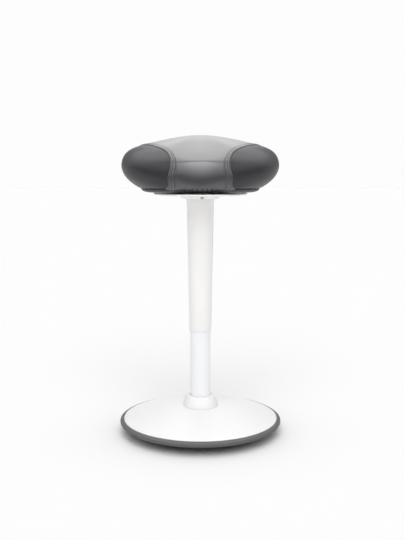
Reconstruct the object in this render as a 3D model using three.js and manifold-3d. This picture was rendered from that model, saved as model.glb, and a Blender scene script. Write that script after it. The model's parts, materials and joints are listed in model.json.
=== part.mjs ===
import * as THREE from 'three';
import { mergeVertices } from 'three/addons/utils/BufferGeometryUtils.js';
import Module from 'manifold-3d';

const wasm = await Module();
wasm.setup();

// A perch stool: a three-lobed upholstered seat on a gas spring column with a heavy round rocking base.
// Millimetres, +Z up, the floor at z 0, the front of the stool towards -Y.

// Facets round each kind of turned piece
const rim_sides = 40;
const body_sides = 32;
const tube_sides = 20;
const small_sides = 14;
const screw_sides = 10;
const nut_sides = 6;
const seam_sides = 30;
const round_steps = 4;

// Clearances
const gap = 0.3;
const running_gap = 0.6;
const overrun = 4;
const weld = 0.001;

// Travel of the moving pieces
const raise_travel = 50;
const lower_travel = 150;
const ring_travel = 2.5;

// Base: a domed rubber sole under a cast weight, with a painted cover and a rubber rim
const rim_diameter = 400;
const foot_diameter = 120;
const rocker_radius = 860;
const sole_inset = 2.2;
const sole_thickness = 6;
const sole_steps = 3;
const groove_width = 3;
const groove_depth = 1.6;
const groove_pitch = 34;
const groove_count = 3;
const first_groove_radius = 72;
const weight_inset = 11.8;
const weight_bore = 60;
const pad_diameter = 124;
const pad_height = 18;
const weight_rim_height = 34.6;
const weight_rim_width = 10;
const cover_inset = 9.5;
const cover_wall = 2;
const cover_rim_height = 38.4;
const cover_crown_height = 65.5;
const cover_bore = 66;
const cover_edge_round = 2.4;
const cover_steps = 3;
const bumper_bottom_height = 22.8;
const bumper_band = 3.8;
const bumper_groove = 0.8;
const bumper_drop = 1.2;
const bumper_slope = 0.4;

// Hub: a steel socket bolted to the weight, with a white collar round the column
const flange_diameter = 112;
const flange_thickness = 6;
const socket_diameter = 62;
const socket_height = 86;
const bolt_circle = 88;
const bolt_count = 4;
const bolt_diameter = 8;
const bolt_head_diameter = 13;
const bolt_head_height = 4.5;
const bolt_length = 14;
const collar_foot_diameter = 87.4;
const collar_top_diameter = 70;
const collar_height = 27.5;
const collar_lip = 2.5;
const collar_bore = 52.2;
const collar_socket_room = 1.5;
const seal_height = 4;

// Column: a standard gas spring in a 50 mm stand tube
const stand_diameter = 50;
const stand_wall = 2;
const stand_bottom_height = 13;
const stand_length = 372;
const stand_taper_length = 67;
const stand_taper_drop = 0.8;
const bush_length = 60;
const bush_flange = 2.2;
const end_plate_thickness = 4;
const washer_thickness = 2;
const washer_diameter = 26;
const bearing_height = 4;
const bearing_balls = 6;
const ball_diameter = 3.6;
const buffer_height = 11;
const buffer_clearance = 0.8;
const buffer_diameter = 20;
const rod_diameter = 10;
const rod_foot_diameter = 8;
const rod_tip_diameter = 7;
const rod_foot_height = 8;
const clip_diameter = 15;
const clip_thickness = 1.6;
const piston_clearance = 1.8;
const piston_length = 18;
const piston_groove = 4;
const piston_groove_depth = 2;
const piston_nut_height = 4;
const piston_nut_diameter = 13;
const spring_diameter = 28;
const spring_wall = 2;
const spring_length = 396;
const spring_taper_length = 41;
const spring_taper_drop = 0.8;
const gland_length = 22;
const valve_body_length = 26;
const valve_pin_diameter = 8;
const valve_pin_length = 18;

// Seat mechanism, measured from the underside of the seat board
const plate_side = 98;
const plate_corner = 12;
const plate_thickness = 3.7;
const plate_hole_spacing = 74;
const plate_screw_diameter = 6;
const screw_head_diameter = 12;
const screw_head_height = 3.2;
const plate_screw_length = 15;
const bracket_depth = 19.4;
const bracket_width = 32;
const bracket_wall = 3;
const bracket_back = 24;
const bracket_front = 27;
const hub_diameter = 40;
const hub_length = 37;
const spring_top_rise = 3.7;
const valve_clearance = 3.2;
const lever_width = 12;
const lever_thickness = 3;
const lever_reach = 58;
const lever_tail = 5;
const lever_pivot = 22;
const lever_barrel_diameter = 9.4;
const lever_nose_diameter = 5;
const pivot_diameter = 4.6;
const pivot_length = 35;

// White boss under the seat, the sleeve that hides the gas spring, and the lift ring
const boss_depth = 27;
const boss_foot_diameter = 67.2;
const boss_rim_diameter = 100.6;
const boss_rise = 10.6;
const boss_wall = 2.5;
const boss_spigot_diameter = 86.6;
const sleeve_spigot_length = 12;
const sleeve_length = 322.2;
const sleeve_top_diameter = 66.7;
const sleeve_foot_diameter = 54.5;
const sleeve_wall = 1.6;
const mark_length = 8;
const mark_width = 3;
const mark_offset = 4.4;
const ring_diameter = 227;
const ring_bore = 88;
const ring_thickness = 2.5;
const ring_rim_height = 4;
const ring_rim_width = 4;
const ring_dish_width = 14;

// Seat pan and board
const pan_clearance = 0.6;
const pan_wall = 2.5;
const pan_bore = 136;
const pan_flat_share = 0.63;
const pan_steps = 3;
const pan_screw_radius = 122;
const pan_screw_diameter = 3.4;
const pan_screw_length = 15;
const pan_head_diameter = 8;
const pan_head_height = 1.8;
const pan_boss_diameter = 12;
const board_thickness = 12;
const tee_nut_flange = 19;
const tee_nut_barrel = 9;
const tee_nut_sheet = 1.2;
const tee_nut_length = 9;

// Cushion: three lobes with hollow sides between them, a crowned top and a tucked-in hem
const lobe_offset = 120.3;
const lobe_radius = 80;
const waist_radius = 116;
const crown_height = 126.5;
const lobe_edge_height = 53.7;
const side_edge_height = 63.5;
const lobe_crown = 37.7;
const side_crown = 54;
const skin_thickness = 4;
const seam_centre_offset = 35.4;
const seam_hem_radius = 100.2;
const seam_tuck_radius = 117.2;
const seam_crown_radius = 109.4;
const seam_tuck_height = 28;
const seam_crown_height = 110;
const seam_limit = 80;
const strip_width = 10;
const strip_thickness = 1;
const lobe_hem_share = 0.755;
const side_hem_share = 0.82;
const lobe_crown_share = 1.51;
const side_crown_share = 2;
const lobe_shoulder_share = 14;
const side_shoulder_share = 9;
const cushion_sides = 42;
const lining_sides = 30;
const tuck_steps = 3;
const shoulder_steps = 4;
const crown_steps = 3;
const shoulder_start = Math.PI * 0.09;

// Places that several pieces share
const weight_diameter = rim_diameter - 2 * weight_inset;
const sole_diameter = weight_diameter - 2 * sole_inset;
const cover_diameter = rim_diameter - 2 * cover_inset;
const lobe_count = 3;
const lobe_turn = 2 * Math.PI / lobe_count;
const back_lobe = Math.PI / 2;
const lobe_names = ['back', 'left', 'right'];
const boss_foot = -boss_depth;
const boss_top = boss_foot + boss_rise;
const plate_top = -gap;
const plate_bottom = plate_top - plate_thickness;
const bracket_top = plate_bottom - gap;
const bracket_bottom = bracket_top - bracket_depth;
const bracket_floor = bracket_bottom + bracket_wall;
const hub_top = bracket_bottom - gap;
const hub_bottom = hub_top - hub_length;
const spring_top = hub_top + spring_top_rise;
const spring_bottom = spring_top - spring_length;
const valve_travel = ring_travel * lever_pivot / (ring_bore / 2 - lever_pivot);
const valve_top = spring_top + valve_travel + valve_clearance;
const ring_bottom = boss_top + gap;
const lever_bottom = ring_bottom + ring_thickness + gap;
const lever_middle = lever_bottom + lever_thickness / 2;
const pan_bottom = ring_bottom + ring_rim_height + ring_travel + pan_clearance;
const pan_inside = pan_bottom + pan_wall;
const sleeve_top = boss_foot - gap;
const plate_foot_height = stand_bottom_height + gap + clip_thickness;
const lower_washer_height = plate_foot_height + end_plate_thickness + gap;
const cage_height = lower_washer_height + washer_thickness + gap;
const upper_washer_height = cage_height + bearing_height + gap;
const rod_shoulder_height = upper_washer_height + washer_thickness + gap;
const buffer_bottom_height = rod_shoulder_height + gap;
const buffer_top_height = buffer_bottom_height + buffer_height;
const spring_foot_height = buffer_top_height + buffer_clearance + lower_travel;
const board_height = spring_foot_height - spring_bottom;
const piston_height = spring_foot_height + gland_length + raise_travel + piston_clearance;
const piston_top_height = piston_height + piston_length;
const stand_top_height = stand_bottom_height + stand_length;
const stand_inner = stand_diameter / 2 - stand_wall;
const spring_inner = spring_diameter / 2 - spring_wall;
const rocker_drop = rocker_radius - Math.sqrt(rocker_radius ** 2 - (foot_diameter / 2) ** 2);

// Finishes
const finish = (color, roughness, metalness) => new THREE.MeshStandardMaterial({ color, roughness, metalness });
const white_paint = finish(0xf4f3f1, 0.35, 0);
const white_plastic = finish(0xf1f0ee, 0.42, 0);
const black_leather = finish(0x2b2b2e, 0.45, 0);
const black_plastic = finish(0x3a3a3d, 0.55, 0);
const dark_rubber = finish(0x55534f, 0.8, 0);
const sole_rubber = finish(0x2a2a2a, 0.85, 0);
const seat_foam_white = finish(0xe5dfc8, 0.95, 0);
const birch_ply = finish(0xc9a877, 0.7, 0);
const iron = finish(0x4a4a4c, 0.7, 0.8);
const zinc_steel = finish(0xb4b5b8, 0.35, 1);
const bright_steel = finish(0xd8d9dc, 0.15, 1);
const clear_plastic = finish(0xd9d7cf, 0.5, 0);

// A closed surface as a solid that can be cut and joined, with its faces turned outwards
function solidOf(geometry) {
  const bare = geometry.index ? geometry.toNonIndexed() : geometry.clone();
  bare.deleteAttribute('normal');
  bare.deleteAttribute('uv');
  const merged = mergeVertices(bare, weld);
  const corners = merged.index.array;
  const faces = [];
  for (let i = 0; i < corners.length; i += 3) {
    const [a, b, c] = [corners[i], corners[i + 1], corners[i + 2]];
    if (a !== b && b !== c && c !== a) faces.push(a, b, c);
  }
  const vertProperties = new Float32Array(merged.getAttribute('position').array);
  const build = (triangles) => new wasm.Manifold(
    new wasm.Mesh({ numProp: 3, vertProperties, triVerts: new Uint32Array(triangles) }));
  const solid = build(faces);
  return solid.volume() < 0 ? build(faces.reverse()) : solid;
}

// A solid as a mesh with its name and finish, hung in its group
function show(group, name, solid, material) {
  const { vertProperties, triVerts } = solid.getMesh();
  const geometry = new THREE.BufferGeometry();
  geometry.setAttribute('position', new THREE.BufferAttribute(vertProperties, 3));
  geometry.setIndex(new THREE.BufferAttribute(triVerts, 1));
  const faceted = geometry.toNonIndexed();
  faceted.computeVertexNormals();
  const mesh = new THREE.Mesh(faceted, material);
  mesh.name = name;
  group.add(mesh);
  return mesh;
}

// A profile of [radius, height] points turned about Z
function turned(profile, sides) {
  const points = profile.map(([radius, height]) => new THREE.Vector2(radius, height));
  if (profile[0][0] > 0) points.push(points[0].clone());
  return solidOf(new THREE.LatheGeometry(points, sides).rotateX(Math.PI / 2));
}

// A plain ring between two radii and two heights
const washer = (inner, outer, low, high, sides) =>
  turned([[inner, low], [outer, low], [outer, high], [inner, high]], sides);

// A plain rod about Z
const rodAt = (radius, low, high, sides) => turned([[0, low], [radius, low], [radius, high], [0, high]], sides);

// An outline in the XY plane raised from low to high
function raised(shape, low, high, steps = round_steps) {
  const options = { depth: high - low, bevelEnabled: false, curveSegments: steps };
  return solidOf(new THREE.ExtrudeGeometry(shape, options).translate(0, 0, low));
}

// A closed shape through [x, y] points
const outline = (points) => new THREE.Shape(points.map(([x, y]) => new THREE.Vector2(x, y)));

// Points of a round corner or nose about a centre, from one angle to another
function arc(x, y, radius, from, to, steps) {
  const points = [];
  for (let i = 0; i <= steps; i++) {
    const angle = from + (to - from) * i / steps;
    points.push([x + radius * Math.cos(angle), y + radius * Math.sin(angle)]);
  }
  return points;
}

// Places spread evenly about Z at one radius
const around = (count, radius, start) => Array.from({ length: count }, (_, i) => {
  const angle = start + 2 * Math.PI * i / count;
  return [radius * Math.cos(angle), radius * Math.sin(angle)];
});

// Height of the domed sole's rolling surface at a radius, flat under the foot
function rockerHeight(radius) {
  if (radius <= foot_diameter / 2) return 0;
  return rocker_radius - Math.sqrt(rocker_radius ** 2 - radius ** 2) - rocker_drop;
}

// Radii from the foot out to the edge of the dome
const rockerRadii = (edge) => Array.from({ length: sole_steps + 1 },
  (_, i) => foot_diameter / 2 + (edge - foot_diameter / 2) * i / sole_steps);

// Rubber sole with grip grooves turned into its rolling face
function rockerSole() {
  const edge = sole_diameter / 2;
  const under = [[0, 0], [foot_diameter / 2, 0]];
  for (let i = 0; i < groove_count; i++) {
    const near = first_groove_radius + i * groove_pitch;
    const far = near + groove_width;
    under.push([near, rockerHeight(near)], [near, rockerHeight(near) + groove_depth]);
    under.push([far, rockerHeight(far) + groove_depth], [far, rockerHeight(far)]);
  }
  under.push([edge, rockerHeight(edge)]);
  const over = rockerRadii(edge).reverse().map((radius) => [radius, rockerHeight(radius) + sole_thickness]);
  return turned([...under, ...over, [0, sole_thickness]], body_sides);
}

// Cast iron weight: a saucer that follows the sole, with a pad for the hub and a raised rim for the cover
function baseWeight() {
  const edge = weight_diameter / 2;
  const seat = sole_thickness + gap;
  const under = rockerRadii(sole_diameter / 2).map((radius) => [radius, rockerHeight(radius) + seat]);
  const rim_inside = edge - weight_rim_width;
  const saucer = turned([
    [weight_bore / 2, seat],
    ...under,
    [edge, rockerHeight(sole_diameter / 2) + seat],
    [edge, weight_rim_height],
    [rim_inside, weight_rim_height],
    [rim_inside - weight_rim_width, weight_rim_height - weight_rim_width / 2],
    [(rim_inside + pad_diameter) / 2, pad_height + bolt_head_height],
    [pad_diameter / 2, pad_height],
    [weight_bore / 2, pad_height],
  ], rim_sides);
  const holes = around(bolt_count, bolt_circle / 2, Math.PI / bolt_count).map(([x, y]) => {
    const shank = rodAt(bolt_diameter / 2 + gap, seat - overrun, pad_height + overrun, screw_sides);
    const head = rodAt(bolt_head_diameter / 2 + gap, seat - overrun, seat + 2 * gap + bolt_head_height, screw_sides);
    return shank.add(head).translate([x, y, 0]);
  });
  return holes.reduce((solid, hole) => solid.subtract(hole), saucer);
}

// Height of the cover's painted face, a shallow dome from the collar out to the rim
function coverHeight(radius) {
  const edge = cover_diameter / 2 - cover_edge_round;
  const inside = collar_foot_diameter / 2;
  const fall = (cover_crown_height - cover_rim_height) / (edge ** 2 - inside ** 2);
  return cover_crown_height - fall * (radius ** 2 - inside ** 2);
}

// Painted steel cover with a turned-down edge, level where the collar stands on it
function baseCover() {
  const edge = cover_diameter / 2;
  const bore = cover_bore / 2;
  const inside = collar_foot_diameter / 2;
  const shoulder = edge - cover_edge_round;
  const radii = Array.from({ length: cover_steps + 1 }, (_, i) => inside + (shoulder - inside) * i / cover_steps);
  const lip = weight_rim_height + gap;
  return turned([
    [bore, cover_crown_height],
    ...radii.map((radius) => [radius, coverHeight(radius)]),
    [edge - cover_edge_round / 4, cover_rim_height - cover_edge_round / 3],
    [edge, cover_rim_height - cover_edge_round],
    [edge, lip],
    [edge - cover_wall, lip],
    [shoulder - cover_wall / 2, cover_rim_height - cover_wall],
    ...radii.slice(0, -1).reverse().map((radius) => [radius, coverHeight(radius) - cover_wall]),
    [bore, cover_crown_height - cover_wall],
  ], rim_sides);
}

// Rubber rim stretched over the edges of the weight and the cover, with a bevel below and a groove round its face
function rimBumper() {
  const outer = rim_diameter / 2;
  const low = bumper_bottom_height;
  const top = cover_rim_height - bumper_drop;
  const weight_side = weight_diameter / 2 + gap;
  const cover_side = cover_diameter / 2 + gap;
  const groove = (low + top) / 2;
  return turned([
    [weight_side, low],
    [outer - 1.5 * bumper_band, low],
    [outer - bumper_band / 3, low + bumper_band],
    [outer, groove - 1.5 * bumper_groove],
    [outer - bumper_groove, groove],
    [outer, groove + 1.5 * bumper_groove],
    [outer - bumper_band / 5, top - bumper_band * 0.8],
    [outer - bumper_band, top - bumper_band / 5],
    [outer - 1.9 * bumper_band, top],
    [cover_side, top - bumper_slope],
    [cover_side, weight_rim_height],
    [weight_side, weight_rim_height],
  ], rim_sides);
}

// Radius of the stand tube's outside at a height: its foot is a taper
function standRadius(height) {
  const down = Math.max(0, stand_bottom_height + stand_taper_length - height);
  return stand_diameter / 2 - stand_taper_drop * down / stand_taper_length;
}

// Steel socket with a flange, bored to the stand tube's taper
function hubSocket() {
  const low = pad_height + gap;
  const taper_end = stand_bottom_height + stand_taper_length;
  const body = turned([
    [standRadius(low) + gap, low],
    [flange_diameter / 2, low],
    [flange_diameter / 2, low + flange_thickness],
    [socket_diameter / 2 + flange_thickness / 2, low + flange_thickness],
    [socket_diameter / 2, low + 1.5 * flange_thickness],
    [socket_diameter / 2, socket_height],
    [stand_diameter / 2 + gap, socket_height],
    [stand_diameter / 2 + gap, taper_end],
  ], tube_sides);
  const holes = around(bolt_count, bolt_circle / 2, Math.PI / bolt_count).map(([x, y]) =>
    rodAt(bolt_diameter / 2 + gap, low - overrun, low + flange_thickness + overrun / 2, screw_sides)
      .translate([x, y, 0]));
  return holes.reduce((solid, hole) => solid.subtract(hole), body);
}

// Bolt from below through the weight into the hub flange, its head sunk in the casting
function hubBolt(x, y) {
  const low = sole_thickness + 2 * gap;
  const head_top = low + bolt_head_height;
  return turned([
    [0, low],
    [bolt_head_diameter / 2, low],
    [bolt_head_diameter / 2, head_top],
    [bolt_diameter / 2, head_top],
    [bolt_diameter / 2, head_top + bolt_length],
    [0, head_top + bolt_length],
  ], screw_sides).translate([x, y, 0]);
}

// White collar round the foot of the column
function columnCollar() {
  const low = cover_crown_height + gap;
  const top = low + collar_height;
  const foot = collar_foot_diameter / 2;
  const crown = collar_top_diameter / 2;
  const room = socket_diameter / 2 + collar_socket_room;
  const lean = foot - crown;
  return turned([
    [room, low],
    [foot, low],
    [foot - lean * 0.14, low + collar_height * 0.2],
    [foot - lean * 0.55, low + collar_height * 0.55],
    [crown, top - collar_lip],
    [crown - collar_lip * 0.7, top - collar_lip * 0.3],
    [crown - 2 * collar_lip, top],
    [collar_bore / 2, top],
    [collar_bore / 2, top - collar_lip],
    [room, top - collar_lip],
  ], body_sides);
}

// Rubber seal between the collar's lip and the socket
function collarSeal() {
  const room = socket_diameter / 2 + collar_socket_room - gap;
  const low = socket_height + gap;
  return washer(stand_diameter / 2 + gap, room, low, low + seal_height, tube_sides);
}

// Stand tube with its tapered foot
function standTube() {
  const outer = stand_diameter / 2;
  return turned([
    [stand_inner - stand_taper_drop, stand_bottom_height],
    [outer - stand_taper_drop, stand_bottom_height],
    [outer, stand_bottom_height + stand_taper_length],
    [outer, stand_top_height],
    [stand_inner, stand_top_height],
    [stand_inner, stand_bottom_height + stand_taper_length],
  ], tube_sides);
}

// Plastic bush that guides the gas spring in the top of the stand tube
function guideBush() {
  const bore = spring_diameter / 2 + gap;
  const barrel = stand_inner - gap;
  const lip = stand_top_height + gap;
  return turned([
    [bore, stand_top_height - bush_length],
    [barrel, stand_top_height - bush_length],
    [barrel, lip],
    [stand_diameter / 2 - gap, lip],
    [stand_diameter / 2 - bush_flange / 2, lip + bush_flange],
    [bore, lip + bush_flange],
  ], tube_sides);
}

// Plate pressed into the foot of the stand tube, which carries the thrust bearing
const endPlate = () => washer(rod_foot_diameter / 2 + gap, stand_inner - stand_taper_drop - gap,
  plate_foot_height, plate_foot_height + end_plate_thickness, small_sides);

const thrustWasher = (height) =>
  washer(rod_foot_diameter / 2 + gap, washer_diameter / 2, height, height + washer_thickness, small_sides);

// Thrust bearing: balls held in a thin cage
function thrustBearing() {
  const middle = cage_height + bearing_height / 2;
  const inner = rod_foot_diameter / 2 + gap;
  const outer = washer_diameter / 2;
  const cage = washer(inner, outer, middle - bearing_height / 5, middle + bearing_height / 5, small_sides);
  const balls = around(bearing_balls, (inner + outer) / 2, 0).map(([x, y]) =>
    solidOf(new THREE.SphereGeometry(ball_diameter / 2, 6, 4).rotateX(Math.PI / 2)).translate([x, y, middle]));
  return balls.reduce((solid, ball) => solid.add(ball), cage);
}

// Clip that keeps the rod's foot below the end plate, open on one side
function rodClip() {
  const low = plate_foot_height - gap - clip_thickness;
  const mouth = rod_foot_diameter * 0.7;
  const ring = washer(rod_foot_diameter / 2 + gap, clip_diameter / 2, low, low + clip_thickness, small_sides);
  const cut = raised(outline([[-mouth / 2, 0], [mouth / 2, 0], [mouth / 2, -clip_diameter], [-mouth / 2, -clip_diameter]]),
    low - overrun, low + overrun);
  return ring.subtract(cut);
}

// Rod of the gas spring, stepped at its foot for the bearing and at its tip for the piston
const pistonRod = () => turned([
  [0, rod_foot_height],
  [rod_foot_diameter / 2, rod_foot_height],
  [rod_foot_diameter / 2, rod_shoulder_height],
  [rod_diameter / 2, rod_shoulder_height],
  [rod_diameter / 2, piston_height - gap],
  [rod_tip_diameter / 2, piston_height - gap],
  [rod_tip_diameter / 2, piston_top_height + piston_nut_height + 2 * gap],
  [0, piston_top_height + piston_nut_height + 2 * gap],
], small_sides);

// Rubber buffer at the foot of the rod, met by the gas spring at its lowest
const rodBuffer = () => washer(rod_diameter / 2 + gap, buffer_diameter / 2,
  buffer_bottom_height, buffer_top_height, small_sides);

// Piston with a groove for its seal
function piston() {
  const outer = spring_inner - gap;
  const groove = piston_height + (piston_length - piston_groove) / 2;
  const bore = rod_tip_diameter / 2 + gap;
  return turned([
    [bore, piston_height],
    [outer, piston_height],
    [outer, groove],
    [outer - piston_groove_depth, groove],
    [outer - piston_groove_depth, groove + piston_groove],
    [outer, groove + piston_groove],
    [outer, piston_top_height],
    [bore, piston_top_height],
  ], small_sides);
}

// Seal ring in the piston's groove
function pistonSeal() {
  const low = piston_height + (piston_length - piston_groove) / 2 + gap;
  const inner = spring_inner - piston_groove_depth;
  return washer(inner, spring_inner - gap, low, low + piston_groove - 2 * gap, small_sides);
}

// Hexagon nut that holds the piston on the rod's tip
function pistonNut() {
  const low = piston_top_height + gap;
  const high = low + piston_nut_height;
  return rodAt(piston_nut_diameter / 2, low, high, nut_sides)
    .subtract(rodAt(rod_tip_diameter / 2 + gap, low - overrun, high + overrun, small_sides));
}

// Radius of the gas spring's outside at a height under the seat board: its top is a taper
function springRadius(height) {
  const up = Math.max(0, height - (spring_top - spring_taper_length));
  return spring_diameter / 2 - spring_taper_drop * up / spring_taper_length;
}

// Pressure tube of the gas spring, with the taper that holds the seat
const pressureTube = () => turned([
  [spring_inner, spring_bottom],
  [spring_diameter / 2, spring_bottom],
  [spring_diameter / 2, spring_top - spring_taper_length],
  [springRadius(spring_top), spring_top],
  [spring_inner, spring_top],
], tube_sides);

// Gland that closes the foot of the pressure tube round the rod
const rodGland = () => washer(rod_diameter / 2 + gap, spring_inner - gap,
  spring_bottom + gap, spring_bottom + gland_length, small_sides);

// Valve body in the top of the pressure tube
const valveBody = () => washer(valve_pin_diameter / 2 + gap, spring_inner - gap,
  spring_top - valve_body_length, spring_top - gap, small_sides);

// Button of the gas spring's valve
const valvePin = () => turned([
  [0, valve_top - valve_pin_length],
  [valve_pin_diameter / 2, valve_top - valve_pin_length],
  [valve_pin_diameter / 2, valve_top - gap],
  [valve_pin_diameter / 2 - gap, valve_top],
  [0, valve_top],
], small_sides);

// Steel hub bored to the gas spring's taper
const taperHub = () => turned([
  [springRadius(hub_bottom) + gap, hub_bottom],
  [hub_diameter / 2, hub_bottom],
  [hub_diameter / 2, hub_top],
  [springRadius(hub_top) + gap, hub_top],
], tube_sides);

// Folded channel under the plate, which carries the hub below and the lever's pin in its walls
function leverBracket() {
  const half = bracket_width / 2;
  const inside = half - bracket_wall;
  const channel = raised(outline([
    [-half, bracket_bottom], [half, bracket_bottom], [half, bracket_top], [inside, bracket_top],
    [inside, bracket_floor], [-inside, bracket_floor], [-inside, bracket_top], [-half, bracket_top],
  ]), -bracket_back, bracket_front);
  const upright = channel.rotate([90, 0, 0]).mirror([0, 1, 0]);
  const bore = rodAt(spring_diameter / 2 + running_gap, bracket_bottom - overrun, bracket_floor + overrun / 2, tube_sides);
  const pin_hole = rodAt(pivot_diameter / 2 + gap, -bracket_width, bracket_width, small_sides)
    .rotate([0, 90, 0]).translate([0, lever_pivot, lever_middle]);
  return upright.subtract(bore).subtract(pin_hole);
}

const leverPin = () => rodAt(pivot_diameter / 2, -pivot_length / 2, pivot_length / 2, screw_sides)
  .rotate([0, 90, 0]).translate([0, lever_pivot, lever_middle]);

// Lever from the lift ring to the valve, with a barrel round its pin and a nose over the valve
function releaseLever() {
  const half = lever_thickness / 2;
  const nose = lever_nose_diameter / 2;
  const nose_height = valve_top + gap + nose - lever_middle;
  const dip = Math.asin((half + nose_height) / nose);
  const side = outline([
    ...arc(0, nose_height, nose, Math.PI + dip, 2 * Math.PI - dip, round_steps),
    ...arc(lever_reach - half, 0, half, -Math.PI / 2, Math.PI / 2, round_steps),
    ...arc(-lever_tail, 0, half, Math.PI / 2, 1.5 * Math.PI, round_steps),
  ]);
  const bar = raised(side, -lever_width / 2, lever_width / 2);
  const barrel = rodAt(lever_barrel_diameter / 2, -lever_width / 2, lever_width / 2, small_sides)
    .translate([lever_pivot, 0, 0]);
  const bore = rodAt(pivot_diameter / 2 + gap, -lever_width, lever_width, small_sides)
    .translate([lever_pivot, 0, 0]);
  return bar.add(barrel).subtract(bore).rotate([90, 0, 90]).translate([0, 0, lever_middle]);
}

// A square outline with round corners
function roundedSquare(side, corner) {
  const inside = side / 2 - corner;
  return outline([0, 1, 2, 3].flatMap((quarter) => {
    const start = quarter * Math.PI / 2;
    const x = inside * (quarter === 0 || quarter === 3 ? 1 : -1);
    const y = inside * (quarter < 2 ? 1 : -1);
    return arc(x, y, corner, start, start + Math.PI / 2, round_steps);
  }));
}

// Places of the four screws between the plate and the board
const plateScrewPlaces = () => around(4, plate_hole_spacing / Math.SQRT2, Math.PI / 4);

// Steel plate under the seat board
function mountPlate() {
  const plate = raised(roundedSquare(plate_side, plate_corner), plate_bottom, plate_top);
  const holes = plateScrewPlaces().map(([x, y]) =>
    rodAt(plate_screw_diameter / 2 + gap, plate_bottom - overrun, plate_top + overrun, screw_sides)
      .translate([x, y, 0]));
  return holes.reduce((solid, hole) => solid.subtract(hole), plate);
}

// A headed screw from below, its head under the given height
function screwUp(x, y, under, shank, length, head, head_height) {
  return turned([
    [0, under - head_height],
    [head * 0.4, under - head_height],
    [head / 2, under - head_height * 0.6],
    [head / 2, under],
    [shank / 2, under],
    [shank / 2, under + length],
    [0, under + length],
  ], screw_sides).translate([x, y, 0]);
}

const plateScrew = (x, y) => screwUp(x, y, plate_bottom - gap, plate_screw_diameter, plate_screw_length,
  screw_head_diameter, screw_head_height);

const panScrew = (x, y) => screwUp(x, y, pan_bottom - gap, pan_screw_diameter, pan_screw_length,
  pan_head_diameter, pan_head_height);

// Tee nut let into the top of the seat board
function teeNut(x, y) {
  const bore = plate_screw_diameter / 2 + gap;
  const flange = board_thickness - gap - tee_nut_sheet;
  return turned([
    [bore, board_thickness - tee_nut_length],
    [tee_nut_barrel / 2, board_thickness - tee_nut_length],
    [tee_nut_barrel / 2, flange],
    [tee_nut_flange / 2, flange],
    [tee_nut_flange / 2, flange + tee_nut_sheet],
    [bore, flange + tee_nut_sheet],
  ], screw_sides).translate([x, y, 0]);
}

// White boss below the seat: it holds the sleeve below, guides the ring above and hides the mechanism
function mechanismCover() {
  const foot = boss_foot_diameter / 2;
  const rim = boss_rim_diameter / 2;
  const spigot = boss_spigot_diameter / 2;
  const sleeve_spigot = sleeve_top_diameter / 2 - sleeve_wall - gap;
  const flare = rim - foot;
  const shell = turned([
    [sleeve_spigot - boss_wall, boss_foot - sleeve_spigot_length],
    [sleeve_spigot, boss_foot - sleeve_spigot_length],
    [sleeve_spigot, boss_foot],
    [foot, boss_foot],
    [foot + flare * 0.5, boss_foot + boss_rise * 0.22],
    [foot + flare * 0.85, boss_foot + boss_rise * 0.55],
    [rim, boss_top - boss_wall / 3],
    [rim - boss_wall / 4, boss_top],
    [spigot, boss_top],
    [spigot, plate_bottom - gap],
    [spigot - boss_wall, plate_bottom - gap],
    [spigot - boss_wall, boss_foot + boss_rise * 0.75],
    [foot + flare * 0.35, boss_foot + boss_rise * 0.22 + boss_wall / 2],
    [sleeve_spigot - boss_wall, boss_foot + boss_wall],
  ], body_sides);
  const room = lever_width / 2 + running_gap;
  const doorway = raised(outline([[-room, 0], [room, 0], [room, boss_rim_diameter], [-room, boss_rim_diameter]]),
    boss_top - gap, plate_bottom + overrun);
  return shell.subtract(doorway).subtract(bossMark());
}

// Small round-ended hole in the front of the boss
function bossMark() {
  const half = mark_width / 2;
  const straight = mark_length / 2 - half;
  const shape = outline([
    ...arc(straight, 0, half, -Math.PI / 2, Math.PI / 2, round_steps),
    ...arc(-straight, 0, half, Math.PI / 2, 1.5 * Math.PI, round_steps),
  ]);
  return raised(shape, 0, boss_rim_diameter).rotate([90, 0, 0])
    .translate([mark_offset, 0, boss_foot + boss_rise * 0.45]);
}

// Tapered sleeve that hides the gas spring and slides over the stand tube
function columnSleeve() {
  const top = sleeve_top_diameter / 2;
  const foot = sleeve_foot_diameter / 2;
  const low = sleeve_top - sleeve_length;
  return turned([
    [foot - sleeve_wall, low],
    [foot - sleeve_wall / 4, low],
    [foot, low + sleeve_wall],
    [top, sleeve_top],
    [top - sleeve_wall, sleeve_top],
  ], body_sides);
}

// Lift ring: a shallow dish round the boss with a raised rim, pulled up anywhere round the seat
function releaseRing() {
  const outer = ring_diameter / 2;
  const inner = ring_bore / 2;
  const low = ring_bottom;
  const flat = low + ring_thickness;
  const top = low + ring_rim_height;
  const dish = outer - ring_dish_width;
  return turned([
    [inner, low],
    [dish, low],
    [outer - ring_rim_width / 2, low + gap],
    [outer, low + ring_rim_height / 3],
    [outer, top - gap],
    [outer - ring_rim_width / 4, top],
    [outer - ring_rim_width, top],
    [dish, flat],
    [inner, flat],
  ], rim_sides);
}

// Angle from the nearest lobe's middle, none at a lobe and a sixth of a turn at the middle of a side
function offLobe(angle) {
  const turns = (angle - back_lobe) / lobe_turn;
  return Math.abs(turns - Math.round(turns)) * lobe_turn;
}

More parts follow.
